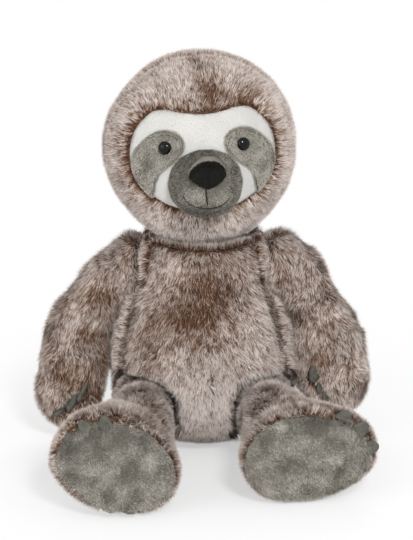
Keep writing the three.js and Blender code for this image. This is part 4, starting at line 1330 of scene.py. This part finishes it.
# The muzzle's nap is painted darker all over: its own grey, and painted shade on its top and sides. The marks
# are painted highlights on the two bulges under the nose and beside the nose, and painted shade in a band
# just below the mouth.
MUZZLE_TONE_AND_SHADE = -0.4
MUZZLE_PAINTED_LIGHT = [
    (0.6, (-8, -80, 52), (9, 30, 7)), (0.6, (8, -80, 52), (9, 30, 7)), (0.2, (14, -80, 66), (7, 30, 10)),
    (-0.16, (0, -80, 42), (20, 30, 4)),
]
muzzle = soft_solid("muzzle_cloth", ["muzzle"], 1.0 * MM, 16, 0.4 * MM, hull=True)
finish_piece(muzzle, "head", ["muzzle"], grey_cloth)
nose_search = tree_over("nose")


def muzzle_keep(place, normal):
    """Where the muzzle shows, except under the nose."""
    under_nose = nose_search.find_nearest(place)[3] < NOSE_GAP and (head_back_again @ place).z <= NOSE_TOP
    return 0.0 if under_nose else facing_out(place, normal)


def muzzle_tint_and_painted_light(place):
    return MUZZLE_TONE_AND_SHADE + blotted(head_back_again @ place, MUZZLE_PAINTED_LIGHT)


def muzzle_comb(place):
    """Away from the nose all round."""
    own = head_back_again @ place
    return head_turn @ unit(Vector((own.x, 0, own.z - MUZZLE_MIDDLE)))


napped(
    "muzzle_nap", muzzle, "head", NAP, grey_nap, 121, muzzle_keep, muzzle_comb,
    tinted=muzzle_tint_and_painted_light,
)

# %% The nose
NOSE_DROP = 0.16
GROOVE = 0.8 * MM
GROOVE_SIDES = 2.4 * MM
GROOVE_DEPTH = 0.9 * MM
nose = soft_solid("nose_felt", ["nose"], 0.6 * MM, 8, 0.5 * MM, hull=True)
heights = [(head_back_again @ v.co).z for v in nose.data.vertices]
low, tall = min(heights), max(heights) - min(heights)


def groove(x, width):
    """1 in the crease down the middle of the nose, fading over a width."""
    return math.exp(-((x / width) ** 2))


for vertex in nose.data.vertices:
    own = head_back_again @ vertex.co
    up = (own.z - low) / tall
    own.z -= NOSE_DROP * tall * up**1.5
    own.y += GROOVE_DEPTH * groove(own.x, GROOVE) * max(0.0, 1 - 1.4 * up)
    vertex.co = head_place @ own
finish_piece(nose, "head", ["nose"], black_cloth)


def nose_painted_shade_and_highlight(place):
    """Painted shade in the crease down the middle, and a painted highlight beside it."""
    own = head_back_again @ place
    strength = 1.0 if own.z < low + 0.55 * tall else 0.3
    return (0.25 * groove(own.x, GROOVE_SIDES) - 0.7 * groove(own.x, GROOVE)) * strength


FELT = {**NAP, "Length": 1.0 * MM}
napped("nose_nap", nose, "head", FELT, black_nap, 131, facing_out, (0, 0, -1), 6.0, nose_painted_shade_and_highlight)
print("nose", round(tall / MM, 1), "mm tall")

# %% [markdown]
# ## Threads
# A thread is a path given a round section, and a row of stitches is a path with beads of thread on it.
# Both are geometry trees over an edge path, so the same two trees make the mouth and every seam row.

# %% The thread tree and the stitch tree
thread_tree, given, result = new_group(
    "GeometryNodeTree", "thread", {"Path": "Geometry", "Radius": "Float", "Material": "Material"},
    {"Thread": "Geometry"},
)
line = put(thread_tree, "GeometryNodeMeshToCurve", {"Mesh": given["Path"]})
ring = put(thread_tree, "GeometryNodeCurvePrimitiveCircle", {"Resolution": 8, "Radius": given["Radius"]})
tube = {"Curve": line, "Profile Curve": ring.outputs[0], "Fill Caps": True}
tube = put(thread_tree, "GeometryNodeCurveToMesh", tube)
tube = put(thread_tree, "GeometryNodeSetMaterial", {"Geometry": tube, "Material": given["Material"]})
thread_tree.links.new(tube.outputs[0], result["Thread"])

stitch_tree, given, result = new_group(
    "GeometryNodeTree",
    "stitch_row",
    {"Path": "Geometry", "Pitch": "Float", "Radius": "Float", "Stitch": "Float", "Material": "Material"},
    {"Stitches": "Geometry"},
)
line = put(stitch_tree, "GeometryNodeMeshToCurve", {"Mesh": given["Path"]})
line = put(stitch_tree, "GeometryNodeResampleCurve", {"Curve": line, "Length": given["Pitch"]}, mode="LENGTH")
bead = put(stitch_tree, "GeometryNodeMeshUVSphere", {"Segments": 6, "Rings": 4, "Radius": 1.0})
way = put(stitch_tree, "GeometryNodeInputTangent")
turn = put(stitch_tree, "FunctionNodeAlignRotationToVector", {"Vector": way}, axis="Z")
size = {"X": given["Radius"], "Y": given["Radius"], "Z": given["Stitch"]}
size = put(stitch_tree, "ShaderNodeCombineXYZ", size)
beads = {"Points": line, "Instance": bead.outputs["Mesh"], "Rotation": turn, "Scale": size}
beads = put(stitch_tree, "GeometryNodeInstanceOnPoints", beads)
beads = put(stitch_tree, "GeometryNodeRealizeInstances", {"Geometry": beads})
beads = put(stitch_tree, "GeometryNodeSetMaterial", {"Geometry": beads, "Material": given["Material"]})
stitch_tree.links.new(beads.outputs[0], result["Stitches"])
print("thread trees:", len(thread_tree.nodes), "and", len(stitch_tree.nodes), "nodes")


# %% Sew with them
def path_object(points, closed=False):
    mesh = bpy.data.meshes.new("path")
    edges = [(i, i + 1) for i in range(len(points) - 1)]
    if closed:
        edges.append((len(points) - 1, 0))
    mesh.from_pydata([p[:] for p in points], edges, [])
    return new_object("path", mesh)


def sewn(name, points, tree, settings, body, replaced=(), closed=False):
    """Run a thread or a row of stitches along some points."""
    path = path_object(points, closed)
    made = grown(name, path, tree, settings)
    bpy.data.objects.remove(path)
    bm = bmesh.new()
    bm.from_mesh(made.data)
    bmesh.ops.remove_doubles(bm, verts=bm.verts, dist=2 * SAME_POINT)
    bm.to_mesh(made.data)
    bm.free()
    made.data.shade_smooth()
    finish_piece(made, body, replaced)


def drawn_on(search, points, lift):
    """Lay head-frame (x, z) points on a surface, from in front, lifted by a little."""
    starts = [head_place @ Vector((x, IN_FRONT, z)) for x, z in points]
    hits = [search.ray_cast(start, head_turn @ Vector((0, 1, 0))) for start in starts]
    return [hit[0] + hit[1] * lift for hit in hits if hit[0]]


def through(points, steps=8):
    """A smooth open line through a few points, given in millimetres."""
    points = [Vector(p) * MM for p in points]
    ends = [2 * points[0] - points[1], *points, 2 * points[-1] - points[-2]]
    fours = zip(ends, ends[1:], ends[2:], ends[3:])
    return [*[between(*four, step / steps) for four in fours for step in range(steps)], points[-1]]


# %% [markdown]
# The muzzle has a straight thick thread under the nose and a thinner curved one for the mouth. Round each
# eye patch goes a row of small stitches.

# %% The mouth and the patch stitches
LIP_THREAD = {"Radius": 0.55 * MM, "Material": black_thread}
MOUTH_THREAD = {"Radius": 0.36 * MM, "Material": black_thread}
PATCH_STITCH = {"Pitch": 1.5 * MM, "Radius": 0.36 * MM, "Stitch": 0.75 * MM, "Material": seam_thread}
STITCH_INSET_SHARE = 0.87
STITCH_LIFT = 0.25 * MM
muzzle_surface = tree_over(muzzle)
lip_line = through([(-1.6, 58.6), (-1.3, 52), (-0.8, 46)])
mouth_line = through([(-16.4, 52), (-12.6, 46.8), (-6, 44.3), (0, 43.6), (8, 44.8), (14.6, 49.6)])
for name, line, lift, settings, solid in (
    ("lip_thread", lip_line, 1.0 * MM, LIP_THREAD, "lip_stitch"),
    ("mouth_thread", mouth_line, 1.1 * MM, MOUTH_THREAD, "mouth_stitch"),
):
    laid = drawn_on(muzzle_surface, line, lift)
    sewn(name, laid, thread_tree, settings, "head", [solid])
    print(name, len(laid), "points")
for side, outline in patch_outlines.items():
    middle = sum(outline, Vector((0, 0))) / len(outline)
    row = []
    for point in outline:
        flat = middle + (point - middle) * STITCH_INSET_SHARE
        row.append(head_place @ (face_point(flat) + face_normal(flat.x, flat.y) * (PATCH_LIFT + STITCH_LIFT)))
    sewn(f"{side}_patch_stitches", row, stitch_tree, PATCH_STITCH, "head", closed=True)

# %% [markdown]
# ## Soles
# A sole is a soft egg-shaped pad of grey cloth whose nap was brushed this way and that by hands and boxes.


# %% The soles
# The dark places along the top and the outer side of each sole are painted shade under the fur of the leg.
# The other marks and the streaks are darker and paler patches of the brushed nap.
SOLE_MARKS_AND_PAINTED_SHADE = {
    "right": [
        (-0.4, (-92, -170, 52), (14, 40, 10)), (-0.22, (-62, -170, 60), (30, 40, 7)),
        (-0.24, (-40, -170, 55), (4, 40, 9)), (0.12, (-66, -170, 36), (22, 40, 14)),
    ],
    "left": [
        (-0.7, (80, -160, 62), (24, 40, 8)), (-0.3, (108, -160, 46), (10, 40, 12)),
        (0.24, (50, -160, 54), (7, 40, 9)), (0.12, (84, -160, 42), (20, 40, 9)),
        (-0.12, (50, -160, 24), (14, 40, 12)),
    ],
}
STREAK_WIDTH = 2.2 * MM
STREAK_HEIGHT = 7 * MM
STREAK_STRENGTH = 0.14
SOLE_TONE = 0.07
SOLE_RIM_FACING = 0.3


def forward(place, normal):
    """1 on the face of the sole and round its rim."""
    return 1.0 if normal.y < SOLE_RIM_FACING else 0.0


def sole_comb(place):
    """Down and to the toy's left, with strong swirls."""
    return Vector((0.5 + 2.2 * cloudy(place, 13, 31), 0, -0.8 + 2.2 * cloudy(place, 13, 33)))


def sole_tint_and_painted_shade(place):
    side = "right" if place.x < 0 else "left"
    streaks = noise.noise(Vector((place.x / STREAK_WIDTH, 0, place.z / STREAK_HEIGHT))) * STREAK_STRENGTH
    return SOLE_TONE + blotted(place, SOLE_MARKS_AND_PAINTED_SHADE[side]) + 0.12 * cloudy(place, 9, 35) + streaks


for number, (side, pad) in enumerate(soles.items()):
    finish_piece(pad, f"{side}_leg", [f"{side}_sole"], grey_cloth)
    napped(
        f"{side}_sole_nap", pad, f"{side}_leg", NAP, grey_nap, 141 + number, forward, sole_comb,
        tinted=sole_tint_and_painted_shade,
    )

# %% [markdown]
# ## The rows that hold the limbs on
# Each limb and the head is sewn to the torso round its ball. On the real toy these stitches run down in the
# pile, where hardly one shows, so the row is drawn in from its packed ring toward the joint.

# %% The seam rows
RING_POINTS = 48
RING_DRAWN_IN_SHARE = 0.8
SEAM_STITCH = {"Pitch": 3.2 * MM, "Radius": 0.6 * MM, "Stitch": 1.3 * MM, "Material": seam_thread}
turns = [k * math.tau / RING_POINTS for k in range(RING_POINTS)]
for name, node in cad.items():
    if name.endswith("_thread"):
        corners = [v.co.copy() for v in node.data.vertices]
        middle = sum(corners, Vector()) / len(corners)
        spread = np.linalg.svd(np.array([c - middle for c in corners]), full_matrices=False)[2]
        side_way, up_way = Vector(spread[0]), Vector(spread[1])
        radius = RING_DRAWN_IN_SHARE * max((c - middle).length for c in corners)
        row = [middle + radius * (math.cos(a) * side_way + math.sin(a) * up_way) for a in turns]
        body = node["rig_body"]
        sewn(name + "_row", row, stitch_tree, SEAM_STITCH, body, [name], closed=True)
bpy.data.objects.remove(strand)

# %% [markdown]
# ## Floor, light and background
# The photograph is a studio shot on white. A small bright lamp stands high in front on the toy's left, a wide
# fill on its right and a wide lamp behind, and an even pale world does the rest. Near the toy the floor
# takes its shadow, and further out it fades to the white of the background.

# %% The floor
FLOOR_SIDE = 24.0
FADE = {"From Min": 0.12, "From Max": 0.34, "To Min": 0.5}
WHITE = (1, 1, 1, 1)
bpy.ops.mesh.primitive_plane_add(size=FLOOR_SIDE)
floor = bpy.context.object
floor.name = "floor"
floor_paint = bpy.data.materials.new("floor_paint")
floor_paint.use_nodes = True
tree = floor_paint.node_tree
paint = tree.nodes["Principled BSDF"]
paint.inputs["Base Color"].default_value = (0.9, 0.9, 0.9, 1)
paint.inputs["Roughness"].default_value = 0.9
away = vectors(tree, "LENGTH", put(tree, "ShaderNodeTexCoord").outputs["Object"]).outputs["Value"]
far = put(tree, "ShaderNodeMapRange", {"Value": away, **FADE})
path = put(tree, "ShaderNodeLightPath").outputs
seen = maths(tree, "MAXIMUM", path["Is Camera Ray"], path["Is Glossy Ray"])
amount = maths(tree, "MULTIPLY", far.outputs["Result"], seen)
glow = put(tree, "ShaderNodeEmission", {"Color": WHITE, "Strength": 1.0})
both = put(tree, "ShaderNodeMixShader", {0: amount, 1: paint.outputs[0], 2: glow})
tree.links.new(both.outputs[0], tree.nodes["Material Output"].inputs["Surface"])
floor.data.materials.append(floor_paint)
print("floor", FLOOR_SIDE, "m wide")

# %% [markdown]
# The world lights the toy softly, and looks plain white to the camera and in reflections.

# %% The world and the lamps
WORLD_LIGHT = 0.62
AIM = Vector((0, 0, 0.13))
world = bpy.data.worlds.new("studio")
bpy.context.scene.world = world
world.use_nodes = True
tree = world.node_tree
soft = tree.nodes["Background"]
soft.inputs["Color"].default_value = WHITE
soft.inputs["Strength"].default_value = WORLD_LIGHT
white = put(tree, "ShaderNodeBackground", {"Color": WHITE, "Strength": 1.0})
path = put(tree, "ShaderNodeLightPath").outputs
seen = maths(tree, "MAXIMUM", path["Is Glossy Ray"], path["Is Transmission Ray"])
seen = maths(tree, "MAXIMUM", path["Is Camera Ray"], seen)
both = put(tree, "ShaderNodeMixShader", {0: seen, 1: soft.outputs[0], 2: white})
tree.links.new(both.outputs[0], tree.nodes["World Output"].inputs["Surface"])


def lamp(name, place, power, size):
    """A square soft lamp aimed at the toy."""
    data = bpy.data.lights.new(name, "AREA")
    data.energy = power
    data.size = size
    made = bpy.data.objects.new(name, data)
    made.location = place
    made.rotation_euler = (AIM - Vector(place)).to_track_quat("-Z", "Y").to_euler()
    bpy.context.scene.collection.objects.link(made)


lamp("key", (0.3, -1.25, 0.95), 13, 0.26)
lamp("fill", (-0.9, -0.9, 0.6), 4, 0.8)
lamp("back", (0.2, 1.1, 1.0), 5, 0.8)
bpy.context.scene.view_settings.view_transform = "Standard"
print("lamps:", len(bpy.data.lights))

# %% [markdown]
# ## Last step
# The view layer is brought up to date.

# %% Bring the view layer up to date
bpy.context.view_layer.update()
